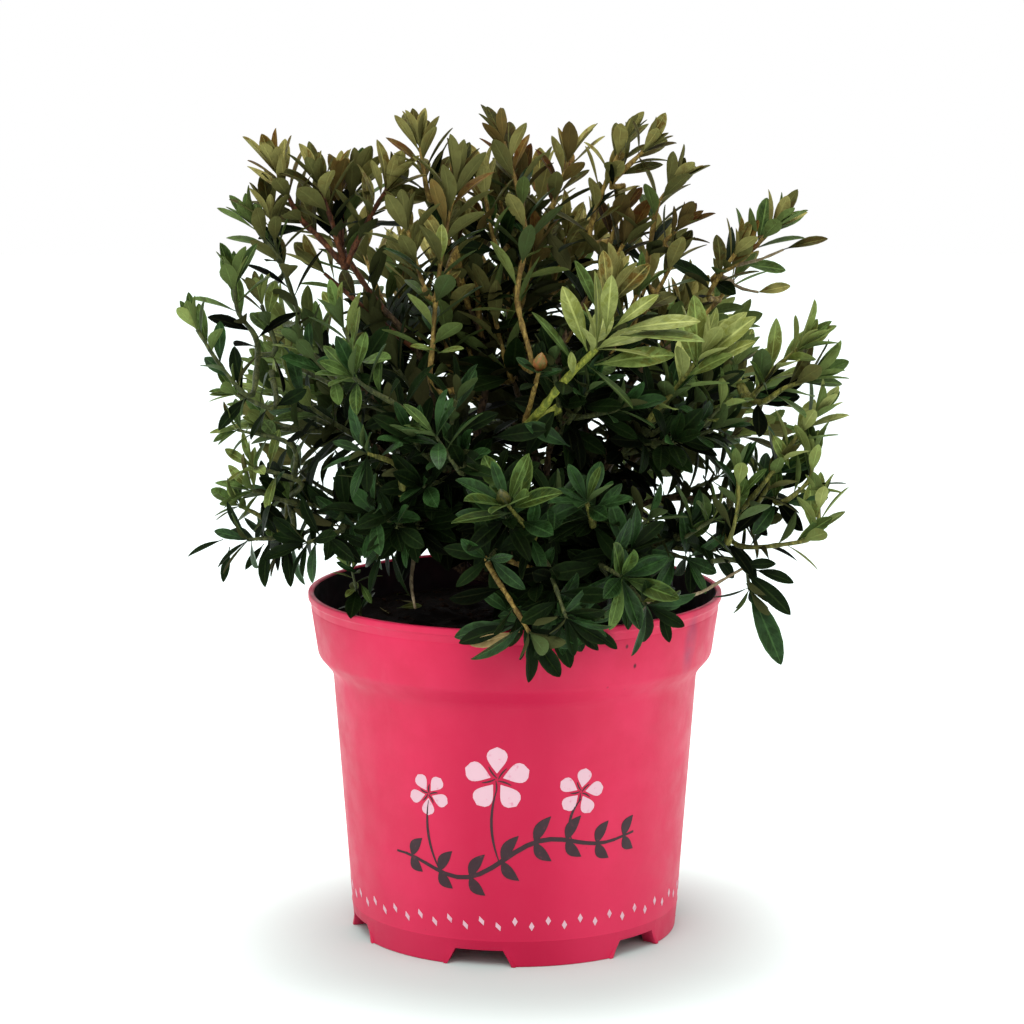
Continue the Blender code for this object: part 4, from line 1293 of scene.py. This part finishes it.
def at_share(path, share):
    """The point and the direction at a share of a path's length."""
    place = min(max(share, 0.0), 0.9999) * (len(path) - 1)
    index = int(place)
    step = path[index + 1] - path[index]
    return path[index] + step * (place - index), step.normalized()


def radius_at(radii, share):
    """The radius at a share of a limb's length."""
    place = min(share, 0.9999) * (len(radii) - 1)
    index = int(place)
    return radii[index] + (radii[index + 1] - radii[index]) * (place - index)


def trunk_path():
    foot = COMPOST_HEIGHT + COMPOST_CROWN + GAP
    return [
        Vector((0.0, 0.0, foot)),
        Vector((0.0, 0.0, foot + TRUNK_FLARE_HEIGHT)),
        Vector((TRUNK_LEAN / 3, 0.0, (foot + TRUNK_TOP) / 2)),
        Vector((TRUNK_LEAN, 0.0, TRUNK_TOP)),
    ]


def clear_of(carrier_radius, radius, slant):
    """How far from a limb's axis a side limb starts, so that its flat end clears the limb by the gap."""
    return (carrier_radius + GAP + radius * abs(slant)) / math.sqrt(1 - slant**2)


def bough_limb(name, paths):
    """From the trunk's side, or from the side of the bough that carries it, out to where its mass begins."""
    mass = MASSES[name]
    end = on_axis(mass, FORK_SHARE)
    if mass.carrier == "trunk":
        share = LOWEST_FORK + (HIGHEST_FORK - LOWEST_FORK) * mass.lift / 90
        base, along = at_share(trunk_path()[1:], share)
        away = direction(mass.bearing, BOUGH_LEAVES_AT * mass.lift)
        carrier_radius = radius_at(TRUNK_RADII[1:], share)
    else:
        base, along = at_share(paths[mass.carrier], SIDE_BOUGH_AT)
        away = end - base
        away = (away - along * away.dot(along)).normalized()
        away = (away + along * SIDE_BOUGH_FORWARD).normalized()
        carrier_radius = radius_at([BOUGH_ROOT_RADIUS, BOUGH_TIP_RADIUS], SIDE_BOUGH_AT)
    start = base + away * clear_of(carrier_radius, BOUGH_ROOT_RADIUS, away.dot(along))
    return Limb(start, start + away * (end - start).length * BOUGH_BEND, end), base


def stem_limb(name, bough):
    """The mass's own stem, which goes on from the bough's tip."""
    along = (bough[-1] - bough[-2]).normalized()
    start = bough[-1] + along * GAP
    end = on_axis(MASSES[name], STEM_SHARE)
    return Limb(start, start + along * (end - start).length * STEM_BEND, end)


class Cells:
    """The space of each mass: every point that is nearer to its own limb line than to any other."""

    def __init__(self, paths, stems):
        self.names = list(MASSES)
        lines = [
            paths[name] + stems[name] + [on_axis(mass, share) for share in (0.8, 0.9, 1.0)]
            for name, mass in MASSES.items()
        ]
        self.points = np.array([[tuple(point) for point in line] for line in lines])

    def holds(self, name, point, margin):
        away = np.linalg.norm(self.points - np.array(point), axis=2).min(axis=1)
        own = self.names.index(name)
        nearest = np.delete(away, own).min()
        return away[own] + 2 * margin < nearest


def crosses(tree, first, second):
    """Whether the straight line between two points meets a solid's skin."""
    span = second - first
    return tree.ray_cast(first, span, span.length)[0] is not None


def shoot_limbs(name, stem, cells, solids):
    """The shoots of a mass: a leader from the stem's tip, and others round the stem by the golden angle."""
    mass = MASSES[name]
    rule = random.Random(list(MASSES).index(name) + 1)
    axis = direction(mass.bearing, mass.lift)
    aside = axis.orthogonal().normalized()
    upright = axis.cross(aside)
    turn = rule.uniform(0, 2 * math.pi)
    found = []
    for index in range(SHOOTS_PER_MASS):
        rank = index / (SHOOTS_PER_MASS - 1)
        leaves_at = FIRST_SHOOT_AT + (LAST_SHOOT_AT - FIRST_SHOOT_AT) * rank if index else 1.0
        start, along = at_share(stem, leaves_at)
        angle = turn + index * GOLDEN_ANGLE
        outwards = aside * math.cos(angle) + upright * math.sin(angle)
        share = rule.uniform(SHORTEST_SHOOT, 1.0) if index else 1.0
        for drawn_in in DRAWN_IN:
            end = on_axis(mass, share) + outwards * mass.spread * math.sqrt(rank) * drawn_in
            span = (end - start).length
            control = (start + end) / 2 + along * span * SHOOT_BEND - Vector((0, 0, SHOOT_SAG * span))
            limb = Limb(start, control, end)
            path = arc(limb)
            inside = all(cells.holds(name, point, 2 * CELL_MARGIN) for point in path[1:])
            spans = list(zip(path[1:], path[2:]))
            struck = any(crosses(tree, first, second) for tree in solids for first, second in spans)
            if inside and not struck:
                found.append(limb)
                break
    return found


def twig_limb(shoot, rule, solids):
    """A finer twig off a shoot, lifted towards the light, where there is room for it."""
    turn = rule.uniform(0, 2 * math.pi)
    start, along = at_share(arc(shoot, SMOOTH_STEPS), TWIG_AT + rule.uniform(-0.06, 0.06))
    out = Matrix.Rotation(turn, 3, along) @ along.orthogonal().normalized()
    opening = math.radians(TWIG_OPEN_DEG) * rule.uniform(0.8, 1.2)
    away = along * math.cos(opening) + out * math.sin(opening) + Vector((0, 0, TWIG_LIFT))
    length = TWIG_LENGTH * rule.uniform(0.7, 1.15)
    end = start + away.normalized() * length
    if in_box(end, TWIG_MARGIN) and not any(crosses(tree, start, end) for tree in solids):
        return Limb(start, (start + end) / 2 - Vector((0, 0, TWIG_SAG * length)), end)
    return None


def in_box(point, margin):
    low, high = CAD_BOX
    return all(low[axis] + margin < point[axis] < high[axis] - margin for axis in range(3))


def grown_on(paths, way):
    """A smooth path through the places of a way, from the nearest point of the mass's own limbs."""
    way = [Vector(place) for place in way]
    root = min((point for path in paths for point in path), key=lambda point: (point - way[0]).length)
    points = [root, *way]
    ends = [points[0] * 2 - points[1], *points, points[-1] * 2 - points[-2]]
    smoothed = []
    for before, first, second, after in zip(ends, ends[1:], ends[2:], ends[3:]):
        for index in range(SMOOTH_STEPS):
            t = index / SMOOTH_STEPS
            bend = (before * 2 - first * 5 + second * 4 - after) * t**2
            bend += (first * 3 - before - second * 3 + after) * t**3
            smoothed.append((first * 2 + (second - before) * t + bend) / 2)
    smoothed.append(points[-1])
    return evened(smoothed)


def evened(path):
    """The path as points a shoot's step apart."""
    spans = [(after - before).length for before, after in zip(path, path[1:])]
    count = max(6, round(sum(spans) / SHOWN_STEP))
    points = [path[0]]
    walked = 0.0
    for before, after, span in zip(path, path[1:], spans):
        while len(points) < count and walked + span >= len(points) * sum(spans) / count:
            share = (len(points) * sum(spans) / count - walked) / span
            points.append(before.lerp(after, share))
        walked += span
    return points + [path[-1]]


def tubes(name, limbs, sides, look):
    """One mesh of tapering tubes: each limb is a list of points and a list of radii."""
    curve = bpy.data.curves.new(name, "CURVE")
    curve.dimensions = "3D"
    curve.use_fill_caps = True
    curve.bevel_depth = 1.0
    curve.bevel_resolution = sides
    for points, radii in limbs:
        spline = curve.splines.new("POLY")
        spline.points.add(len(points) - 1)
        for slot, point, radius in zip(spline.points, points, radii):
            slot.co = (*point, 1.0)
            slot.radius = radius
    take(linked(name, curve))
    bpy.ops.object.convert(target="MESH")
    obj = bpy.context.active_object
    edit(obj)
    bpy.ops.mesh.remove_doubles(threshold=0.000001)
    bpy.ops.mesh.normals_make_consistent(inside=False)
    leave_edit()
    smooth(obj, 60)
    obj.data.materials.append(look)
    return obj


def knobbed(path, first, last, rule):
    """Radii that taper along a path, with a knob where leaves have been."""
    return [
        (first + (last - first) * index / (len(path) - 1)) * (1 + rule.uniform(-KNOB, KNOB))
        for index in range(len(path))
    ]


# Leaves


def blade_half_width(share, half_width):
    """Half the leaf's width at a share of its length: a short stalk, then broadest past the middle."""
    body = (share - BLADE_ROWS[1]) / (1 - BLADE_ROWS[1])
    if body <= 0:
        return PETIOLE_HALF_WIDTH
    return max(half_width * math.sin(math.pi * body**1.25) ** 0.66 if body < 1 else 0.0, NARROWEST)


def pick_row(obj, along, side=1, low=-math.inf, high=math.inf):
    """In edit mode, selects the vertices of a blade's row between two widths to one side of its rib."""
    pick(obj, lambda place: abs(place.y - along) < 0.001 and low < side * place.x < high)


def blade_sheet(name, columns, half_width, fold, curl, twist, sink):
    """One face of a leaf one metre long, a grid drawn row by row: folded along its rib, curled and twisted.
    Each row is first moved well away along Y, so that the rows still to be drawn aren't picked with it."""
    rows = len(BLADE_ROWS) - 1
    obj = added(name, bpy.ops.mesh.primitive_grid_add, x_subdivisions=columns, y_subdivisions=rows, size=1)
    edit(obj)
    for row, share in enumerate(BLADE_ROWS):
        level = row / rows - 0.5
        along = share + ROW_SHIFT
        width = blade_half_width(share, half_width)
        drop = -curl * share**2
        pick_row(obj, level)
        bpy.ops.transform.resize(value=(2 * width, 1, 1), center_override=(0, level, 0))
        bpy.ops.transform.translate(value=(0, share - level + ROW_SHIFT, 0))
        for side in (-1, 1):
            pick_row(obj, along, side, low=0.75 * width)
            bpy.ops.transform.translate(value=(0, 0, fold * width * 0.85))
            pick_row(obj, along, side, 0.25 * width, 0.75 * width)
            bpy.ops.transform.translate(value=(0, 0, fold * width * 0.60 - sink))
        pick_row(obj, along, 1, -0.25 * width, 0.25 * width)
        bpy.ops.transform.translate(value=(0, 0, -sink))
        pick_row(obj, along)
        bpy.ops.transform.translate(value=(0, 0, drop))
        bpy.ops.transform.rotate(value=-twist * share, orient_axis="Y", center_override=(0, along, drop))
    bpy.ops.mesh.select_all(action="SELECT")
    bpy.ops.transform.translate(value=(0, -ROW_SHIFT, 0))
    leave_edit()
    return obj


def blade(name, half_width, fold, curl, twist=0.0, finer=0):
    """A closed leaf one metre long along +Y, with its upper face to +Z."""
    upper = blade_sheet(name, BLADE_COLUMNS, half_width, fold, curl, twist, 0.0)
    under = blade_sheet(name + " under", 2, half_width, fold, curl, twist, BLADE_THICKNESS)
    for loop in under.data.uv_layers.active.data:
        loop.uv.x = 1.04 + 0.92 * loop.uv.x
    edit(under)
    bpy.ops.mesh.flip_normals()
    leave_edit()
    obj = joined(name, [upper, under])
    edit(obj)
    bpy.ops.mesh.remove_doubles(threshold=0.0005)
    leave_edit()
    if finer:
        apply_modifier(obj, "SUBSURF", levels=finer, render_levels=finer)
    obj.hide_render = True
    return obj.data


def set_on(root, axis, upper):
    """The place of a one-metre leaf that starts at a root along an axis, with its face turned to a side."""
    upper = (upper - axis * upper.dot(axis)).normalized()
    return Matrix.Translation(root) @ Matrix((axis.cross(upper), axis, upper)).transposed().to_4x4()


def leaf_place(root, along, out, opening, length, hang, rule):
    """Places the one-metre leaf on a stem that runs along, on the side that out gives, opened by an angle."""
    axis = along * math.cos(opening) + out * math.sin(opening)
    axis = (axis + Vector((0, 0, LIGHT_PULL - hang))).normalized()
    roll = Matrix.Rotation(rule.uniform(-ROLL_SPREAD, ROLL_SPREAD), 4, "Y")
    return set_on(root, axis, along + Vector((0, 0, FACE_LIFT))) @ roll @ Matrix.Scale(length, 4)


class Foliage:
    """The leaves of the crown, gathered by tone and by blade until they are joined."""

    def __init__(self, blades, solids):
        self.blades = blades
        self.solids = solids
        self.places = {(tone, name): ([], []) for tone in TONES for name in blades}

    def fits(self, place):
        """Whether a leaf keeps to the crown's box and clear of the pot, the compost and the trunk."""
        spots = (LEAF_FOOT, *LEAF_SIDES, LEAF_MIDDLE, LEAF_TIP)
        root, left, right, middle, tip = (place @ Vector(spot) for spot in spots)
        lines = ((root, left), (root, right), (root, middle), (middle, tip), (left, tip), (right, tip))
        return all(in_box(spot, LEAF_MARGIN) for spot in (left, right, middle, tip)) and not any(
            crosses(tree, first, second) for tree in self.solids for first, second in lines
        )

    def add(self, tone, blade_name, place, tint):
        if self.fits(place):
            places, tints = self.places[tone, blade_name]
            places.append(place)
            tints.append(tint)

    def spray(
        self, path, count, length, palette, habit, hang, rule, tuft=ROSETTE_LEAVES, first=FIRST_LEAF_AT
    ):
        """Leaves up a stem by the golden angle, opener and older towards its foot, where their tones are
        darker partly by age and partly as painted shade, and a tuft at its tip.
        """
        main = [rule.choice(tones) for tones in PALETTES[palette]]
        held = HABITS[habit]
        turn = rule.uniform(0, 2 * math.pi)
        spray_tint = rule.uniform(0.1, 0.4)
        for index in range(count + tuft):
            last = index >= count
            share = min(index / max(count - 1, 1), 1.0)
            at = 1.0 if last else first + (LAST_LEAF_AT - first) * (1 - (1 - share) ** CROWDING)
            root, along = at_share(path, at)
            angle = turn + index * GOLDEN_ANGLE + rule.uniform(-TURN_SPREAD, TURN_SPREAD)
            out = Matrix.Rotation(angle, 3, along) @ along.orthogonal().normalized()
            opening = held.tuft if last else held.foot + (held.tip - held.foot) * share
            opening = math.radians(opening * rule.uniform(*OPENINGS))
            size = length * rule.uniform(*SIZES)
            size *= rule.uniform(*TUFT_SIZES) if last else 1.0 - TIP_SMALLER * share
            age = share + rule.uniform(-0.12, 0.12)
            part = 0 if age > YOUNG_FROM else 1 if age > OLD_BELOW else 2
            tone = rule.choice(PALETTES[palette][part]) if rule.random() < ODD_LEAVES else main[part]
            names = ["young", "narrow"] if last else ["mature", "arched", "bent", "mature"]
            if palette == "bright":
                names = ["broad"]
            place = leaf_place(root, along, out, opening, size, hang * (1 - 0.4 * share), rule)
            self.add(tone, rule.choice(names), place, spray_tint + rule.uniform(0.0, 0.6))

    def hold(self, root, tip, tone, blade_name, face=FRONT):
        """A single leaf from its root to its tip, with its upper face to the front and the light."""
        root, tip = Vector(root), Vector(tip)
        place = set_on(root, (tip - root).normalized(), Vector(face)) @ Matrix.Scale((tip - root).length, 4)
        self.add(tone, blade_name, place, 0.5)

    def build(self):
        for tone, words in TONES.items():
            groups = [(self.blades[name], *self.places[tone, name]) for name in self.blades]
            if not any(places for _, places, _ in groups):
                continue
            made = copies("leaves_" + tone, groups)
            smooth(made, 60)
            made.data.materials.append(leaf_finish(tone, words))
            finished.append(made)


def leaf_blades():
    return {
        "young": blade("young blade", 0.160, 0.55, 0.02),
        "narrow": blade("narrow blade", 0.130, 0.40, 0.10, 0.2),
        "mature": blade("mature blade", 0.170, 0.25, 0.12),
        "arched": blade("arched blade", 0.160, 0.30, 0.26, -0.25),
        "bent": blade("bent blade", 0.165, 0.20, 0.05, 0.5),
        "broad": blade("broad blade", 0.200, 0.22, 0.10, 0.1, finer=1),
    }


def scatter(foliage, ground):
    """Fallen leaves laid on the compost."""
    for index, (across, along, bearing) in enumerate(FALLEN):
        place = Vector((across, along, 0))
        away = direction(bearing, 0) * FALLEN_LENGTH
        root, tip = (below(ground, spot) + Vector((0, 0, FALLEN_RISE)) for spot in (place, place + away))
        foliage.hold(root, tip, FALLEN_TONES[index % len(FALLEN_TONES)], "bent", (0.1, -0.2, 1.0))


def build_buds(paths):
    """Round scaly buds at the named places and on the tips of some shoots."""
    profile = [(0.10, 0.0), (0.26, 0.12), (0.36, 0.34), (0.33, 0.58), (0.20, 0.82), (0.04, 1.0)]
    model = turned("bud", profile, 10)
    edit(model)
    for height in (0.34, 0.82):
        pick(model, lambda place: abs(place.z - height) < 0.01)
        bpy.ops.transform.rotate(value=math.radians(18), orient_axis="Z", center_override=(0, 0, height))
    leave_edit()
    buds = BUDS + [(path[-1], path[-1] - path[-2], RIPENESS) for path in paths]
    places = [
        Matrix.Translation(foot) @ Vector(way).to_track_quat("Z", "Y").to_matrix().to_4x4()
        @ Matrix.Scale(BUD_LENGTH, 4)
        for foot, way, ripe in buds
    ]
    made = copies("buds", [(model.data, places, [ripe for foot, way, ripe in buds])])
    bpy.data.objects.remove(model)
    smooth(made, 60)
    made.data.materials.append(bud_scale())
    finished.append(made)


def grow_wood():
    """The coarse line of each bough, its mass's stem, and the finer lines and radii of all boughs."""
    rule = random.Random("knobs")
    coarse, stems, wood = {}, {}, []
    for name in MASSES:
        limb, base = bough_limb(name, coarse)
        coarse[name] = arc(limb)
        stems[name] = stem_limb(name, coarse[name])
        path = [base] + arc(limb, SMOOTH_STEPS)
        wood.append((path, knobbed(path, BOUGH_ROOT_RADIUS * 1.15, BOUGH_TIP_RADIUS * 1.1, rule)))
    return coarse, stems, wood


class Growth:
    """Everything that grows on from the boughs, mass by mass."""

    def __init__(self, ground):
        self.solids = [tree_of(frame["nodes"][name]) for name in ("pot", "compost", "trunk")]
        self.limbs = self.solids + [tree_of(frame["nodes"]["bough_" + name]) for name in MASSES]
        self.coarse, self.stems, self.wood = grow_wood()
        self.cells = Cells(self.coarse, {name: arc(stem) for name, stem in self.stems.items()})
        self.foliage = Foliage(leaf_blades(), self.solids)
        self.stem_tubes, self.shoot_tubes, self.tips = [], {skin: [] for skin in SKINS}, []
        for name in MASSES:
            self.grow(name)
        for leaf in SINGLE:
            self.foliage.hold(*leaf)
        scatter(self.foliage, ground)
        seedling = evened([Vector(place) for place in SEEDLING])
        self.shoot_tubes["green"].append((seedling, [SEEDLING_RADIUS] * len(seedling)))
        self.foliage.spray(
            seedling, SEEDLING_LEAVES, SEEDLING_LEAF, "green", "star", 0.0, random.Random("seedling"),
            SMALL_TUFT, LOW_LEAF_AT,
        )

    def grow(self, name):
        """One mass: its stem, the shoots of the rule, and those that show from the front."""
        mass = MASSES[name]
        rule = random.Random(name)
        spray = self.foliage.spray
        stem = arc(self.stems[name], SMOOTH_STEPS)
        stem[0] = self.coarse[name][-1]
        self.stem_tubes.append((stem, knobbed(stem, BOUGH_TIP_RADIUS * 1.15, SHOOT_ROOT_RADIUS, rule)))
        # Painted shade: near-black leaves along the stem, and along the bough of a steep mass, for the shade
        # inside the crown
        spray(stem, LEAVES_PER_STEM, LEAF_LENGTH, "inner", "star", mass.hang, rule, 0, LOW_LEAF_AT)
        if mass.lift > INNER_FROM_LIFT:
            bough = self.coarse[name]
            spray(bough, LEAVES_PER_BOUGH, LEAF_LENGTH, "inner", "star", 0.0, rule, 0, BOUGH_LEAVES_FROM)
        shoots = shoot_limbs(name, arc(self.stems[name]), self.cells, self.limbs)
        thin, kept, step = 1.0, BEHIND_SHARE, 1
        if name in THIN:
            thin, kept, step = THIN_SHARE, THIN_BEHIND_SHARE, THIN_STEP
        shoots = shoots[::step]
        tubes_of_skin = self.shoot_tubes[SKIN_OF_PALETTE.get(mass.palette, "green")]
        held = ("upright" if mass.lift > UPRIGHT_FROM_LIFT else "star", mass.hang, rule)
        for shoot in shoots:
            path = arc(shoot, SMOOTH_STEPS)
            if name in SHOWN:
                path = path[: round(len(path) * kept)]
            tubes_of_skin.append((path, knobbed(path, SHOOT_ROOT_RADIUS, SHOOT_TIP_RADIUS, rule)))
            if name in SHOWN:
                # Painted shade: the leaves behind the shoots that show take darker palettes
                count = round(LEAVES_BEHIND * thin)
                spray(path, count, LEAF_LENGTH * SHORTER, BEHIND[mass.palette], *held, SMALL_TUFT)
                continue
            self.tips.append(path)
            spray(path, round(LEAVES_PER_SHOOT * thin), LEAF_LENGTH, mass.palette, *held)
            twig = twig_limb(shoot, rule, self.limbs)
            if twig:
                path = arc(twig, SMOOTH_STEPS // 2)
                tubes_of_skin.append((path, knobbed(path, TWIG_ROOT_RADIUS, TWIG_TIP_RADIUS, rule)))
                spray(path, LEAVES_PER_TWIG, LEAF_LENGTH * SHORTER, mass.palette, *held, SMALL_TUFT)
        own_limbs = [stem] + [arc(limb, SMOOTH_STEPS) for limb in shoots]
        for palette, skin, habit, leaves, length, way in SHOWN.get(name, []):
            path = grown_on(own_limbs, way)
            run = sum((after - before).length for before, after in zip(path, path[1:]))
            first = max(0.05, 1 - leaves * SKINS[skin].leaf_step / run)
            stout = SKINS[skin].stout
            radii = knobbed(path, SHOWN_ROOT_RADIUS * stout, SHOWN_TIP_RADIUS * stout, rule)
            self.shoot_tubes[skin].append((path, radii))
            if leaves:
                spray(path, leaves, length, palette, habit, mass.hang, rule, SHOWN_TUFT, first)

    def build_bark(self):
        """The trunk and the boughs as one piece, with the relief of their bark."""
        shares = [index / TRUNK_STEPS for index in range(TRUNK_STEPS + 1)]
        points = [at_share(trunk_path(), share)[0] for share in shares]
        points[0] = points[0] - Vector((0, 0, TRUNK_SUNK))
        radii = [radius_at(TRUNK_RADII, share) for share in shares]
        look = bark("old bark", (34, 22, 14), (108, 84, 60))
        trunk = tubes("trunk_bark", [(points, radii)], TRUNK_SIDES, look)
        limbs = joined("bark_limbs", [trunk, tubes("bough_bark", self.wood, BOUGH_SIDES, look)])
        for vertex in limbs.data.vertices:
            place = vertex.co
            ripple = noise.fractal(Vector((place.x * 260, place.y * 260, place.z * 70)), 0.8, 2.0, 4)
            vertex.co = place + vertex.normal * BARK_RELIEF * ripple
        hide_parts("trunk", *("bough_" + name for name in MASSES))
        finished.append(limbs)

    def build_shoots(self):
        brown = bark("brown stems", (52, 38, 24), (116, 94, 62), 0.65)
        stems = tubes("stems", self.stem_tubes, STEM_SIDES, brown)
        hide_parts(*MASSES)
        finished.append(stems)
        for name, skin in SKINS.items():
            look = bark(name + " shoots", skin.crack, skin.light, skin.rough)
            made = tubes("shoots_" + name, self.shoot_tubes[name], STEM_SIDES, look)
            finished.append(made)

    def build(self):
        build_buds(self.tips[::BUD_ON_EVERY])
        self.build_bark()
        self.build_shoots()
        self.foliage.build()
        models = list(self.foliage.blades.values())
        for obj in [obj for obj in bpy.data.objects if obj.data in models]:
            bpy.data.objects.remove(obj)


# Studio

VIEW_DISTANCE = 1.6435
CAMERA_HEIGHT = 0.4821
CAMERA_SIDE = -0.0013
CAMERA_PITCH_DEG = 80.05
LENS_MM = 127.98
FLOOR_HALF = 3.0
SHADOW_AHEAD = 0.03
SHADOW_REACH = 0.075
CLEAR_REACH = 0.20
PLANT_MIDDLE = (0, 0, 0.22)


def build_floor():
    floor = added("studio_floor", bpy.ops.mesh.primitive_plane_add, size=2 * FLOOR_HALF)
    edit(floor)
    bpy.ops.mesh.subdivide(number_cuts=8)
    leave_edit()
    floor.data.materials.append(studio_floor())


def softbox(name, place, size, power):
    """A lamp with a square face that looks at the middle of the plant."""
    light = bpy.data.lights.new(name, "AREA")
    light.shape = "RECTANGLE"
    light.size, light.size_y = size
    light.energy = power
    obj = linked(name, light)
    obj.location = place
    obj.rotation_euler = (Vector(PLANT_MIDDLE) - Vector(place)).to_track_quat("-Z", "Y").to_euler()


def build_studio():
    build_floor()
    world = bpy.data.worlds.new("studio")
    world.use_nodes = True
    background = world.node_tree.nodes["Background"]
    background.inputs["Color"].default_value = (1, 1, 1, 1)
    background.inputs["Strength"].default_value = 1.0
    bpy.context.scene.world = world
    softbox("key", (-0.40, -1.30, 1.9), (1.0, 1.0), 18)
    softbox("fill", (1.4, -0.9, 0.9), (1.0, 1.2), 3)
    softbox("top", (0.0, 0.3, 1.8), (0.8, 0.8), 14)
    lens = bpy.data.cameras.new("camera")
    lens.lens = LENS_MM
    lens.sensor_width = 36
    camera = linked("camera", lens)
    camera.location = (CAMERA_SIDE, -VIEW_DISTANCE, CAMERA_HEIGHT)
    camera.rotation_euler = (math.radians(CAMERA_PITCH_DEG), 0, 0)
    bpy.context.scene.camera = camera
    bpy.context.scene.view_settings.view_transform = "Standard"


finished = []
finished.append(build_pot())
build_print()
ground = build_compost()
build_crumbs(ground)
Growth(ground).build()
for piece in finished:
    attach(piece, "root")
build_studio()
